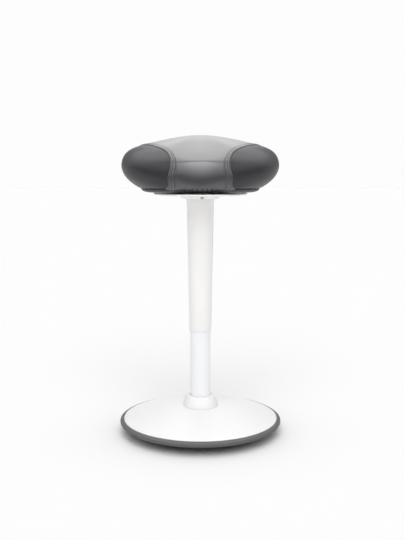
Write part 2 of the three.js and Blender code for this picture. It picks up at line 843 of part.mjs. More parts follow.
// Distance from the centre to the cushion's widest edge: round lobes joined by hollow arcs that meet them smoothly
function reach(angle, inset) {
  const lobe = lobe_radius - inset;
  const waist = waist_radius - inset;
  const hollow = (lobe_offset ** 2 + waist ** 2 - lobe_offset * waist - lobe ** 2)
    / (2 * lobe - 2 * waist + lobe_offset);
  const far = waist + hollow;
  const half_turn = lobe_turn / 2;
  const share = lobe / (lobe + hollow);
  const meet = Math.atan2(share * far * Math.sin(half_turn),
    lobe_offset + share * (far * Math.cos(half_turn) - lobe_offset));
  const off = offLobe(angle);
  if (off < meet) {
    return lobe_offset * Math.cos(off) + Math.sqrt(lobe ** 2 - (lobe_offset * Math.sin(off)) ** 2);
  }
  const turn = half_turn - off;
  return far * Math.cos(turn) - Math.sqrt(hollow ** 2 - (far * Math.sin(turn)) ** 2);
}

// How far a direction is on its way from a lobe to the middle of a side
const sideways = (angle) => 0.5 - 0.5 * Math.cos(lobe_count * offLobe(angle));
const blend = (lobe, side, angle) => lobe + (side - lobe) * sideways(angle);

// One upright section of the cushion, from its hem up the tucked side, over the shoulder and in to the crown.
// A foot below zero carries the hem straight down, for a solid that cuts another.
function cushionSection(angle, inset, foot) {
  const edge = reach(angle, inset);
  const edge_height = blend(lobe_edge_height, side_edge_height, angle);
  const crown = blend(lobe_crown, side_crown, angle);
  const hem = blend(lobe_hem_share, side_hem_share, angle);
  const crown_power = blend(lobe_crown_share, side_crown_share, angle);
  const shoulder_power = blend(lobe_shoulder_share, side_shoulder_share, angle);
  const shoulder = crown_height - inset - edge_height - crown;
  const points = foot < 0 ? [[edge * hem, foot]] : [];
  for (let i = 0; i < tuck_steps; i++) {
    const down = 1 - i / tuck_steps;
    points.push([edge * Math.sqrt(1 - (1 - hem ** 2) * down ** 2), edge_height * (1 - down)]);
  }
  const over = (share) => edge_height + crown * (1 - share ** crown_power)
    + shoulder * Math.sqrt(Math.max(0, 1 - share ** shoulder_power));
  for (let i = 0; i <= shoulder_steps; i++) {
    const climb = Math.PI / 2 + (shoulder_start - Math.PI / 2) * i / shoulder_steps;
    const share = Math.sin(climb) ** (2 / shoulder_power);
    points.push([edge * share, over(share)]);
  }
  const last = Math.sin(shoulder_start) ** (2 / shoulder_power);
  for (let i = 1; i <= crown_steps; i++) {
    const share = last * (1 - i / crown_steps);
    points.push([edge * share, over(share)]);
  }
  return points;
}

// Three-lobed solid from sections taken round the centre, each a list of [radius, height] from the bottom up
function lobedSolid(section, sides, opening) {
  const rings = Array.from({ length: sides }, (_, i) => {
    const angle = 2 * Math.PI * i / sides + back_lobe;
    return section(angle).map(([radius, height]) => [radius * Math.cos(angle), radius * Math.sin(angle), height]);
  });
  const rows = rings[0].length;
  const positions = [];
  const index = [];
  rings.flat().forEach((point) => positions.push(...point));
  const last = opening ? rows : rows - 1;
  for (let i = 0; i < sides; i++) {
    const next = (i + 1) % sides;
    for (let j = 0; j < last; j++) {
      const up = (j + 1) % rows;
      const [a, b, c, d] = [i * rows + j, next * rows + j, next * rows + up, i * rows + up];
      index.push(a, b, c, a, c, d);
    }
    if (!opening) index.push(sides * rows, next * rows, i * rows);
  }
  if (!opening) positions.push(0, 0, rings[0][0][2]);
  const geometry = new THREE.BufferGeometry();
  geometry.setAttribute('position', new THREE.Float32BufferAttribute(positions, 3));
  geometry.setIndex(index);
  return solidOf(geometry);
}

const cushionSolid = (inset, foot, sides) =>
  lobedSolid((angle) => cushionSection(angle, inset, foot), sides, false);

// The end of one lobe: all that lies outside an upright barrel on the lobe's axis, on whose wall the seam runs.
// The barrel is made wider by the distance apart.
function lobeEnd(lobe, apart) {
  const wide = lobe_offset + lobe_radius;
  const far = seam_limit + wide;
  const end = raised(outline([[seam_limit, -wide], [far, -wide], [far, wide], [seam_limit, wide]]),
    -overrun, crown_height + overrun);
  const barrel = turned([
    [0, -2 * overrun],
    [seam_hem_radius + apart, -2 * overrun],
    [seam_hem_radius + apart, 0],
    [seam_tuck_radius + apart, seam_tuck_height],
    [seam_crown_radius + apart, seam_crown_height],
    [seam_crown_radius + apart, crown_height + 2 * overrun],
    [0, crown_height + 2 * overrun],
  ], seam_sides);
  return end.subtract(barrel.translate([seam_centre_offset, 0, 0]))
    .rotate([0, 0, THREE.MathUtils.radToDeg(back_lobe + lobe * lobe_turn)]);
}

// Leather skin cut at the seams into a centre panel and a cap for each lobe
function upholstery() {
  const skin = cushionSolid(0, 0, cushion_sides).subtract(cushionSolid(skin_thickness, -overrun, lining_sides));
  const caps = lobe_names.map((_, lobe) => skin.intersect(lobeEnd(lobe, gap / 2)));
  const centre = lobe_names.reduce((solid, _, lobe) => solid.subtract(lobeEnd(lobe, -gap / 2)), skin);
  return { centre, caps };
}

// Raised strip sewn down over each seam
function seamStrips() {
  const band = cushionSolid(-gap - strip_thickness, 0, cushion_sides)
    .subtract(cushionSolid(-gap, 0, cushion_sides))
    .subtract(slabBelow(gap));
  return lobe_names.map((_, lobe) => band
    .intersect(lobeEnd(lobe, -strip_width / 2))
    .subtract(lobeEnd(lobe, strip_width / 2)));
}

// Wide slab that trims a piece of the cushion off below a height
const slabBelow = (height) => rodAt(2 * (lobe_offset + lobe_radius), -2 * overrun, height, screw_sides);

// Moulded foam inside the skin, resting on the board
const seatFoam = () => cushionSolid(skin_thickness + gap, -overrun, lining_sides)
  .subtract(slabBelow(board_thickness + gap));

// Places of the three screws that hold the pan, one under each lobe
const panScrewPlaces = () => around(lobe_count, pan_screw_radius, back_lobe);

// Plywood board inside the hem, with let-in seats for the tee nuts
function seatBoard() {
  const points = Array.from({ length: lining_sides }, (_, i) => {
    const angle = 2 * Math.PI * i / lining_sides + back_lobe;
    const edge = reach(angle, skin_thickness) * blend(lobe_hem_share, side_hem_share, angle) - running_gap;
    return [edge * Math.cos(angle), edge * Math.sin(angle)];
  });
  const board = raised(outline(points), 0, board_thickness);
  const nut_seats = plateScrewPlaces().map(([x, y]) => {
    const barrel = rodAt(tee_nut_barrel / 2 + gap, -overrun, board_thickness + overrun, screw_sides);
    const flange = rodAt(tee_nut_flange / 2 + gap, board_thickness - tee_nut_sheet - 2 * gap,
      board_thickness + overrun, screw_sides);
    return barrel.add(flange).translate([x, y, 0]);
  });
  const pilots = panScrewPlaces().map(([x, y]) =>
    rodAt(pan_screw_diameter / 2 + gap, -overrun, board_thickness - running_gap, screw_sides).translate([x, y, 0]));
  return [...nut_seats, ...pilots].reduce((solid, hole) => solid.subtract(hole), board);
}

// One upright section of the pan: its outside from the bore out and up to the hem, then its inside back down
function panSection(angle) {
  const hem = reach(angle, 0) * blend(lobe_hem_share, side_hem_share, angle);
  const flat = Math.max(reach(angle, 0) * pan_flat_share, pan_bore / 2 + pan_wall);
  const rise = -gap - pan_bottom;
  const outside = [];
  for (let i = 0; i <= pan_steps; i++) {
    const turn = Math.PI / 2 * i / pan_steps;
    outside.push([flat + (hem - flat) * Math.sin(turn), pan_bottom + rise * (1 - Math.cos(turn))]);
  }
  const inside = outside.map(([radius, height], i) => {
    const thin = i / pan_steps;
    return [radius - pan_wall * thin, height + pan_wall * (1 - thin)];
  }).reverse();
  return [[pan_bore / 2, pan_bottom], ...outside, ...inside, [pan_bore / 2, pan_inside]];
}

// Black pan that closes the underside of the seat, with a screw boss under each lobe
function seatPan() {
  const tray = lobedSolid(panSection, cushion_sides, true);
  const bosses = panScrewPlaces().map(([x, y]) =>
    rodAt(pan_boss_diameter / 2, pan_inside - pan_wall / 2, -gap, screw_sides).translate([x, y, 0]));
  const holes = panScrewPlaces().map(([x, y]) =>
    rodAt(pan_screw_diameter / 2 + gap, pan_bottom - overrun, overrun, screw_sides).translate([x, y, 0]));
  const bossed = bosses.reduce((solid, boss) => solid.add(boss), tray);
  return holes.reduce((solid, hole) => solid.subtract(hole), bossed);
}

// The base and its column, which stand still
const base = new THREE.Group();
show(base, 'rocker_sole', rockerSole(), sole_rubber);
show(base, 'base_weight', baseWeight(), iron);
show(base, 'base_cover', baseCover(), white_paint);
show(base, 'rim_bumper', rimBumper(), dark_rubber);
show(base, 'hub_socket', hubSocket(), zinc_steel);
around(bolt_count, bolt_circle / 2, Math.PI / bolt_count).forEach(([x, y], i) =>
  show(base, `hub_bolt_${i + 1}`, hubBolt(x, y), zinc_steel));
show(base, 'column_collar', columnCollar(), white_plastic);
show(base, 'collar_seal', collarSeal(), sole_rubber);
show(base, 'stand_tube', standTube(), white_paint);
show(base, 'guide_bush', guideBush(), clear_plastic);
show(base, 'tube_end_plate', endPlate(), zinc_steel);
show(base, 'thrust_washer_lower', thrustWasher(lower_washer_height), bright_steel);
show(base, 'thrust_bearing', thrustBearing(), bright_steel);

// The rod, which turns on its bearing but doesn't rise
const rod = new THREE.Group();
show(rod, 'thrust_washer_upper', thrustWasher(upper_washer_height), bright_steel);
show(rod, 'rod_clip', rodClip(), zinc_steel);
show(rod, 'piston_rod', pistonRod(), bright_steel);
show(rod, 'rod_buffer', rodBuffer(), sole_rubber);
show(rod, 'piston', piston(), zinc_steel);
show(rod, 'piston_seal', pistonSeal(), sole_rubber);
show(rod, 'piston_nut', pistonNut(), zinc_steel);

// The seat with all that rises with it, measured from the underside of its board
const seat = new THREE.Group();
seat.position.z = board_height;
show(seat, 'pressure_tube', pressureTube(), zinc_steel);
show(seat, 'rod_gland', rodGland(), zinc_steel);
show(seat, 'valve_body', valveBody(), zinc_steel);
show(seat, 'taper_hub', taperHub(), zinc_steel);
show(seat, 'lever_bracket', leverBracket(), zinc_steel);
show(seat, 'lever_pin', leverPin(), bright_steel);
show(seat, 'mount_plate', mountPlate(), zinc_steel);
plateScrewPlaces().forEach(([x, y], i) => {
  show(seat, `plate_screw_${i + 1}`, plateScrew(x, y), zinc_steel);
  show(seat, `tee_nut_${i + 1}`, teeNut(x, y), zinc_steel);
});
show(seat, 'mechanism_cover', mechanismCover(), white_plastic);
show(seat, 'column_sleeve', columnSleeve(), white_plastic);
show(seat, 'seat_pan', seatPan(), black_plastic);
panScrewPlaces().forEach(([x, y], i) => show(seat, `pan_screw_${lobe_names[i]}`, panScrew(x, y), zinc_steel));
show(seat, 'seat_board', seatBoard(), birch_ply);
show(seat, 'seat_foam', seatFoam(), seat_foam_white);
const cover = upholstery();
show(seat, 'centre_panel', cover.centre, black_leather);
cover.caps.forEach((cap, i) => show(seat, `lobe_cap_${lobe_names[i]}`, cap, black_leather));
seamStrips().forEach((strip, i) => show(seat, `seam_strip_${lobe_names[i]}`, strip, black_leather));

// The lift ring, its lever and the valve button, which move on the seat
const release = new THREE.Group();
release.position.z = board_height;
show(release, 'release_ring', releaseRing(), white_plastic);
show(release, 'release_lever', releaseLever(), zinc_steel);
show(release, 'valve_pin', valvePin(), bright_steel);

const stool = new THREE.Group();
stool.add(base, rod, seat, release);

export default stool;
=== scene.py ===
import json
import math

import bpy
import numpy as np
from mathutils.kdtree import KDTree
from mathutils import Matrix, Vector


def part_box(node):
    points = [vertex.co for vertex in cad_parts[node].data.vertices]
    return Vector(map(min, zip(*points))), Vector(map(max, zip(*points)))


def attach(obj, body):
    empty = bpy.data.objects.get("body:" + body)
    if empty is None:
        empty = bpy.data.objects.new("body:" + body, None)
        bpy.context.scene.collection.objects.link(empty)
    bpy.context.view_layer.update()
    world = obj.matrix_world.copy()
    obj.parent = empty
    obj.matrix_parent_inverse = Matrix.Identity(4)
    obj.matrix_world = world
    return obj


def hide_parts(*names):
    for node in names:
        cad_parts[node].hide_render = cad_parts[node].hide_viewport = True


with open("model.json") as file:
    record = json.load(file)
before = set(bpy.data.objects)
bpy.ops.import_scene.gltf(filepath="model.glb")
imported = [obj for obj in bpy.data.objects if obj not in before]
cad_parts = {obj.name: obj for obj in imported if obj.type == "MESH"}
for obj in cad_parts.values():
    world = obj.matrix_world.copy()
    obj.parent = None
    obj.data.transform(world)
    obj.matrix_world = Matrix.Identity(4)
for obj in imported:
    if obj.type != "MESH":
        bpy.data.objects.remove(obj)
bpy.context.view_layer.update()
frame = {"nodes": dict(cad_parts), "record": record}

bl_info = {
    "name": "Perch stool",
    "version": (1, 0, 0),
    "blender": (4, 5, 0),
    "location": "View3D > Sidebar > Stool",
    "description": "Smooth pieces, leather, paint and rubber for the frame of a perch stool",
    "category": "Object",
}

MM = 0.001
SEAT_BODY = "seat"
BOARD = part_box("seat_board")[0].z
SAME = 1e-6


# Places and sizes that come from the frame

def foot(node):
    """Lowest height of a CAD node."""
    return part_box(node)[0].z


def top(node):
    """Highest height of a CAD node."""
    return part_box(node)[1].z


def radius(node):
    """Outer radius of a turned CAD node."""
    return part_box(node)[1].x


def length(text, about, default):
    """A setting that is a length."""
    return bpy.props.FloatProperty(name=text, description=about, default=default, min=0, unit="LENGTH")


def count(text, about, default):
    """A setting that is a number of sides."""
    return bpy.props.IntProperty(name=text, description=about, default=default, min=3)


def colour(text, about, default):
    """A setting that is a colour."""
    return bpy.props.FloatVectorProperty(name=text, description=about, default=default, size=4, min=0, max=1,
                                         subtype="COLOR")


class StoolSizes(bpy.types.PropertyGroup):
    """Sizes of the turned and moulded pieces"""
    rim_sides: count("Rim sides", "Sides round the base and the lift ring", 160)
    tube_sides: count("Tube sides", "Sides round the column", 96)
    cover_wall: length("Cover wall", "Thickness of the base's painted cover", 2 * MM)
    sleeve_wall: length("Sleeve wall", "Thickness of the tapered sleeve", 1.6 * MM)
    pan_bore: length("Pan bore", "Diameter of the hole in the seat pan", 136 * MM)
    pan_wall: length("Pan wall", "Thickness of the seat pan", 2.5 * MM)


class CushionSizes(bpy.types.PropertyGroup):
    """Sizes of the three-lobed cushion, its seams and stitches"""
    lobe_offset: length("Lobe offset", "From the middle to the centre of a lobe", 120.3 * MM)
    lobe_radius: length("Lobe radius", "Radius of a lobe seen from above", 80 * MM)
    waist_radius: length("Waist radius", "From the middle to the hollow of a side", 116 * MM)
    crown_height: length("Crown height", "From the underside of the board to the crown", 126.5 * MM)
    skin_thickness: length("Skin thickness", "Leather and its padding", 3.6 * MM)
    hem_drop: length("Hem drop", "How far the hem hangs below the board on the hollow sides", 5 * MM)
    side_puff: length("Side puff", "How far the hollow sides puff out between their edge and the hem", 7.5 * MM)
    seam_centre: length("Seam centre", "From the middle to the axis of the barrel that a seam runs on", 35.4 * MM)
    strip_width: length("Strip width", "Width of the strip sewn over a seam", 10 * MM)
    row_offset: length("Row offset", "From a seam to each of its rows of stitches", 3.4 * MM)
    stitch_pitch: length("Stitch pitch", "From one stitch to the next", 4.4 * MM)
    stitch_length: length("Stitch length", "Length of a stitch", 3.4 * MM)
    stitch_width: length("Stitch width", "Width of a stitch", 0.9 * MM)
    sides: count("Sides", "Facets round the cushion", 576)


class StoolColours(bpy.types.PropertyGroup):
    """Colours of the finishes"""
    leather: colour("Leather", "Black leather", (0.020, 0.0205, 0.025, 1))
    # Painted shade: the lobes' leather is the centre's black leather made 0.85 times as dark, for the caps' dimmer
    # sheen
    cap_leather: colour("Cap leather", "Softer black leather of the lobes", (0.017, 0.017425, 0.02125, 1))
    thread: colour("Thread", "Sewing thread", (0.010, 0.010, 0.012, 1))
    paint: colour("Paint", "White powder coat of the base", (0.895, 0.892, 0.889, 1))
    tube_paint: colour("Tube paint", "Cool white powder coat of the lower column", (0.880, 0.884, 0.905, 1))
    plastic: colour("Plastic", "White moulded plastic", (0.885, 0.878, 0.866, 1))
    # Painted shade: the collar's plastic is the white plastic made darker, against the strong light it gets from the
    # front and from the white cover
    collar_plastic: colour("Collar plastic", "White moulded plastic of the collar", (0.835, 0.825, 0.822, 1))
    pan: colour("Pan", "Black moulded plastic", (0.042, 0.042, 0.046, 1))
    rim: colour("Rim", "Charcoal rubber", (0.088, 0.086, 0.091, 1))
    sole: colour("Sole", "Matt black rubber", (0.023, 0.023, 0.023, 1))
    floor: colour("Floor", "White paper on the studio floor", (0.975, 0.975, 0.978, 1))


# Shader sums written as Python

def plug(tree, value, socket):
    """Links a wire to a socket, or sets a plain value on it."""
    if isinstance(value, Wire):
        tree.links.new(value.socket, socket)
    else:
        socket.default_value = value


class Wire:
    """A shader socket that can stand in a sum: each sign adds its Math node."""

    def __init__(self, tree, socket):
        self.tree, self.socket = tree, socket

    def join(self, operation, first, second=None):
        """The outcome of a Math node."""
        node = self.tree.nodes.new("ShaderNodeMath")
        node.operation = operation
        plug(self.tree, first, node.inputs[0])
        if second is not None:
            plug(self.tree, second, node.inputs[1])
        return Wire(self.tree, node.outputs[0])

    def __add__(self, other):
        return self.join("ADD", self, other)

    def __sub__(self, other):
        return self.join("SUBTRACT", self, other)

    def __rsub__(self, other):
        return self.join("SUBTRACT", other, self)

    def __mul__(self, other):
        return self.join("MULTIPLY", self, other)

    def __truediv__(self, other):
        return self.join("DIVIDE", self, other)

    __radd__ = __add__
    __rmul__ = __mul__

    def clipped(self):
        """Kept between 0 and 1."""
        return self.join("MINIMUM", self.join("MAXIMUM", self, 0.0), 1.0)

    def ramp(self, low, high):
        """Goes smoothly from 0 at one value to 1 at another."""
        part = ((self - low) / (high - low)).clipped()
        return part * part * (3 - part * 2)


class Finish:
    """A procedural material with one Principled shader, or a world."""

    def __init__(self, name, owner=None):
        self.owner = owner or bpy.data.materials.new(name)
        self.owner.use_nodes = True
        self.tree = self.owner.node_tree
        self.tree.nodes.clear()

    def node(self, kind, settings=None, values=None, output=0):
        """Adds a node: its settings first, then the values or wires of its sockets."""
        made = self.tree.nodes.new(kind)
        for key, value in (settings or {}).items():
            setattr(made, key, value)
        for key, value in (values or {}).items():
            plug(self.tree, value, made.inputs[key])
        return Wire(self.tree, made.outputs[output]) if len(made.outputs) else None

    def place(self, stretch=(1, 1, 1)):
        """The object's own coordinates, in metres, stretched if need be."""
        own = self.node("ShaderNodeTexCoord", output=3)
        return self.node("ShaderNodeMapping", None, {"Vector": own, "Scale": stretch})

    def parts(self, vector):
        """The X, Y and Z of a vector."""
        outputs = self.node("ShaderNodeSeparateXYZ", None, {0: vector}).socket.node.outputs
        return [Wire(self.tree, output) for output in outputs]

    def ray(self, kind):
        """1 for rays of a kind and 0 for the others."""
        return Wire(self.tree, self.node("ShaderNodeLightPath").socket.node.outputs[kind])

    def noise(self, place, size, detail=2.0, roughness=0.5):
        """Cloudy noise from 0 to 1 whose blots are about a size in metres."""
        return self.node("ShaderNodeTexNoise", None,
                         {"Vector": place, "Scale": 1 / size, "Detail": detail, "Roughness": roughness})

    def cells(self, place, size):
        """Distance from the middle of the nearest cell, in a pattern of cells of a size in metres."""
        return self.node("ShaderNodeTexVoronoi", None, {"Vector": place, "Scale": 1 / size})

    def waves(self, direction, per_metre, distortion):
        """Bands from 0 to 1 across a direction."""
        return self.node("ShaderNodeTexWave", {"bands_direction": direction},
                         {"Vector": self.place(), "Scale": per_metre, "Distortion": distortion})

    def mix(self, factor, first, second):
        """Two colours mixed by a factor."""
        return self.node("ShaderNodeMix", {"data_type": "RGBA"}, {0: factor, 6: first, 7: second}, output=2)

    def bump(self, height, distance, strength=1.0):
        """Normal for a height from 0 to 1 that stands for a distance in metres."""
        return self.node("ShaderNodeBump", None, {"Height": height, "Distance": distance, "Strength": strength})

    def surface(self, **values):
        """The Principled shader, joined to the output; socket names have _ for spaces."""
        shader = self.node("ShaderNodeBsdfPrincipled", None,
                           {name.replace("_", " "): value for name, value in values.items()})
        self.node("ShaderNodeOutputMaterial", None, {"Surface": shader})
        return self.owner


def tinted(value, factor):
    """A colour made lighter or darker."""
    return tuple(min(1.0, part * factor) for part in value[:3]) + (1.0,)


def leather_finish(name, value, gloss, polish, roughness):
    """Smooth full-grain leather under a clear finish: fine pebbles, soft creases and an even satin sheen"""
    mat = Finish(name)
    place = mat.place()
    broad = mat.noise(place, 50 * MM, 3.0)
    pebbles = mat.cells(place, 1.1 * MM)
    pores = mat.noise(place, 0.6 * MM)
    creases = mat.noise(mat.place((1, 1, 0.4)), 12 * MM, 4.0, 0.6)
    pulls = mat.noise(mat.place((0.35, 0.35, 1)), 16 * MM)
    height = pebbles * 0.15 + pores * 0.08 + creases * 0.5 + pulls * 1.6
    return mat.surface(
        Base_Color=mat.mix(broad, tinted(value, 0.82), tinted(value, 1.25)),
        Roughness=roughness + pebbles * 0.08 + broad * 0.06,
        Specular_IOR_Level=gloss,
        Coat_Weight=polish,
        Coat_Roughness=0.3,
        Normal=mat.bump(height, 0.36 * MM, 0.7),
    )


def thread_finish(name, value):
    """Twisted polyester thread, with painted highlight and shade along its plies"""
    mat = Finish(name)
    twist_and_shade = mat.waves("DIAGONAL", 900.0, 0.4)
    return mat.surface(
        # Painted highlight and shade: the colour is lighter on the crests of the plies and darker between them
        Base_Color=mat.mix(twist_and_shade, tinted(value, 0.6), tinted(value, 1.4)),
        Roughness=0.6,
        Normal=mat.bump(twist_and_shade, 0.08 * MM),
    )


def paint_finish(name, value):
    """White powder coat with the faint orange peel of a baked finish"""
    mat = Finish(name)
    place = mat.place()
    peel = mat.noise(place, 1.6 * MM)
    broad = mat.noise(place, 90 * MM)
    return mat.surface(
        Base_Color=mat.mix(broad, tinted(value, 0.985), tinted(value, 1.01)),
        Roughness=0.36 + peel * 0.06,
        Normal=mat.bump(peel, 0.02 * MM, 0.5),
    )


def moulded_finish(name, value, grain, roughness):
    """Moulded plastic with a fine spark-eroded texture"""
    mat = Finish(name)
    place = mat.place()
    texture = mat.noise(place, grain, 3.0, 0.6)
    broad = mat.noise(place, 70 * MM)
    return mat.surface(
        Base_Color=mat.mix(broad, tinted(value, 0.96), tinted(value, 1.04)),
        Roughness=roughness + (texture - 0.5) * 0.12,
        Normal=mat.bump(texture, 0.03 * MM, 0.6),
    )


def rubber_finish(name, value, roughness):
    """Moulded rubber: a matt skin, a little dusty in patches"""
    mat = Finish(name)
    place = mat.place()
    skin = mat.noise(place, 0.9 * MM, 3.0, 0.65)
    dust = mat.noise(place, 20 * MM, 4.0, 0.6)
    return mat.surface(
        Base_Color=mat.mix(dust, tinted(value, 0.88), tinted(value, 1.15)),
        Roughness=roughness + dust * 0.1,
        Normal=mat.bump(skin, 0.05 * MM, 0.6),
    )


def metal_finish(name, value, roughness, grain):
    """Steel or iron with a brushed or cast skin"""
    mat = Finish(name)
    skin = mat.noise(mat.place((1, 1, 6)), grain, 3.0, 0.6)
    return mat.surface(
        Base_Color=mat.mix(skin, tinted(value, 0.85), tinted(value, 1.1)),
        Metallic=1.0,
        Roughness=roughness + skin * 0.12,
        Normal=mat.bump(skin, 0.04 * MM, 0.5),
    )


def plywood_finish(name, value):
    """Birch plywood: thin plies at the edge and drawn-out grain on the face"""
    mat = Finish(name)
    grain = mat.noise(mat.place((1, 12, 1)), 20 * MM, 4.0, 0.6)
    plies = mat.waves("Z", 120.0, 0.6)
    return mat.surface(
        Base_Color=mat.mix(grain * 0.6 + plies * 0.4, tinted(value, 0.8), tinted(value, 1.15)),
        Roughness=0.62 + grain * 0.1,
        Normal=mat.bump(grain, 0.08 * MM),
    )


def foam_finish(name, value):
    """Open-cell moulded foam, with painted shade in its holes"""
    mat = Finish(name)
    holes = mat.cells(mat.place(), 1.4 * MM)
    return mat.surface(
        # Painted shade: the colour is darker in the middle of each hole, where the bump makes a hollow
        Base_Color=mat.mix(holes, tinted(value, 0.75), tinted(value, 1.05)),
        Roughness=0.95,
        Normal=mat.bump(holes, 0.4 * MM),
    )


# Each slot's finish: its maker, its colour (by name, or as it stands) and what the maker takes after the colour
FINISHES = {
    "white_paint": (paint_finish, "paint"),
    "tube_paint": (paint_finish, "tube_paint"),
    "white_plastic": (moulded_finish, "plastic", 0.7 * MM, 0.42),
    # Painted shade: the collar takes a darker copy of the white plastic
    "collar_plastic": (moulded_finish, "collar_plastic", 0.7 * MM, 0.42),
    "black_leather": (leather_finish, "leather", 1.0, 1.0, 0.30),
    # Painted shade: the caps take a darker, less glossy copy of the black leather
    "soft_leather": (leather_finish, "cap_leather", 0.58, 0.0, 0.34),
    "black_plastic": (moulded_finish, "pan", 0.6 * MM, 0.5),
    "dark_rubber": (rubber_finish, "rim", 0.5),
    "sole_rubber": (rubber_finish, "sole", 0.8),
    "foam": (foam_finish, (0.78, 0.74, 0.58, 1)),
    "plywood": (plywood_finish, (0.58, 0.39, 0.18, 1)),
    "cast_iron": (metal_finish, (0.068, 0.068, 0.072, 1), 0.6, 2 * MM),
    "zinc_steel": (metal_finish, (0.456, 0.462, 0.479, 1), 0.3, 0.8 * MM),
    "bright_steel": (metal_finish, (0.687, 0.694, 0.716, 1), 0.12, 0.5 * MM),
    "bush_plastic": (moulded_finish, (0.694, 0.679, 0.624, 1), 0.8 * MM, 0.5),
    "thread": (thread_finish, "thread"),
}


def finish_for(slot):
    """The material of a slot, made the first time that it is asked for."""
    name = "finish_" + slot
    maker, tint, *values = FINISHES[slot]
    if isinstance(tint, str):
        tint = getattr(bpy.context.scene.stool_colours, tint)
    return bpy.data.materials.get(name) or maker(name, tint, *values)


# Steps that several pieces share

def deselect():
    """Leaves edit mode with nothing selected."""
    if bpy.context.object and bpy.context.object.mode != "OBJECT":
        bpy.ops.object.mode_set(mode="OBJECT")
    bpy.ops.object.select_all(action="DESELECT")


def pick(piece):
    """Selects one piece alone."""
    deselect()
    piece.select_set(True)
    bpy.context.view_layer.objects.active = piece


def modify(piece, kind, **settings):
    """Adds a modifier to a piece and applies it."""
    pick(piece)
    modifier = piece.modifiers.new(kind.title(), kind)
    for key, value in settings.items():
        setattr(modifier, key, value)
    bpy.ops.object.modifier_apply(modifier=modifier.name)


def smooth(piece, angle=35):
    """Shades a piece smooth up to an angle in degrees."""
    pick(piece)
    bpy.ops.object.shade_smooth_by_angle(angle=math.radians(angle))


def dress(piece, slot, body, *nodes, finish=None):
    """Gives a finished piece its material, its body and the nodes that it stands for."""
    piece.data.materials.clear()
    piece.data.materials.append(finish_for(finish or slot))
    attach(piece, body)
    if nodes:
        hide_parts(*nodes)
    return piece


def complete(piece, edge, slot, body, node, angle=28, segments=3, finish=None):
    """Rounds a rigid piece's edges that are sharper than an angle, shades it smooth and dresses it."""
    modify(piece, "BEVEL", width=edge, segments=segments, limit_method="ANGLE", angle_limit=math.radians(angle),
           profile=0.5, use_clamp_overlap=True)
    smooth(piece)
    dress(piece, slot, body, node, finish=finish)


def spread(start, end, parts):
    """Values from a start to an end in equal parts."""
    return [start + (end - start) * i / parts for i in range(parts + 1)]


def outward(piece):
    """Merges doubles and turns all faces outwards."""
    pick(piece)
    bpy.ops.object.mode_set(mode="EDIT")
    bpy.ops.mesh.select_all(action="SELECT")
    bpy.ops.mesh.remove_doubles(threshold=SAME)
    bpy.ops.mesh.normals_make_consistent(inside=False)
    bpy.ops.object.mode_set(mode="OBJECT")


def turned(name, profile, sides, closed=True):
    """A circle pulled out ring by ring along a profile of (radius, height), then closed on itself or capped."""
    deselect()
    ring_radius, height = profile[0]
    bpy.ops.mesh.primitive_circle_add(vertices=sides, radius=ring_radius, location=(0, 0, height),
                                      fill_type="NOTHING" if closed else "NGON")
    piece = bpy.context.object
    piece.name = piece.data.name = name
    bpy.ops.object.transform_apply(location=True, rotation=False, scale=False)
    bpy.ops.object.mode_set(mode="EDIT")
    bpy.ops.mesh.select_mode(type="EDGE")
    bpy.ops.mesh.select_all(action="SELECT")
    if not closed:
        bpy.ops.mesh.region_to_loop()
    for next_radius, next_height in profile[1:]:
        bpy.ops.mesh.extrude_edges_move(TRANSFORM_OT_translate={"value": (0, 0, next_height - height)})
        if next_radius != ring_radius:
            ratio = next_radius / ring_radius
            bpy.ops.transform.resize(value=(ratio, ratio, 1), center_override=(0, 0, next_height))
        ring_radius, height = next_radius, next_height
    if closed:
        bpy.ops.mesh.select_all(action="DESELECT")
        bpy.ops.mesh.select_non_manifold()
        bpy.ops.mesh.bridge_edge_loops()
    else:
        bpy.ops.mesh.edge_face_add()
    bpy.ops.object.mode_set(mode="OBJECT")
    outward(piece)
    return piece


def cut(piece, tool):
    """Cuts a tool out of a piece, and deletes the tool."""
    modify(piece, "BOOLEAN", object=tool, operation="DIFFERENCE", solver="EXACT")
    bpy.data.objects.remove(tool)


def net_faces(levels, sides):
    """Faces of a form of closed rows, whose top point comes after them: its quads, top fan and bottom face."""
    index = np.arange(levels * sides).reshape(levels, sides)
    ahead = np.roll(index, -1, axis=1)
    quads = np.stack([index[:-1], ahead[:-1], ahead[1:], index[1:]], axis=2).reshape(-1, 4)
    fan = [[index[-1, i], ahead[-1, i], levels * sides] for i in range(sides)]
    return quads, fan, [index[0, ::-1].tolist()]


def grid_mesh(name, points, faces):
    """A mesh piece from points and faces worked out by formula, as soft pieces are."""
    mesh = bpy.data.meshes.new(name)
    mesh.from_pydata([tuple(p) for p in points], [], faces)
    mesh.validate()
    piece = bpy.data.objects.new(name, mesh)
    bpy.context.scene.collection.objects.link(piece)
    return piece


# The cushion's form. Heights are above the board's underside, and a pair is over a lobe's middle and a side's.

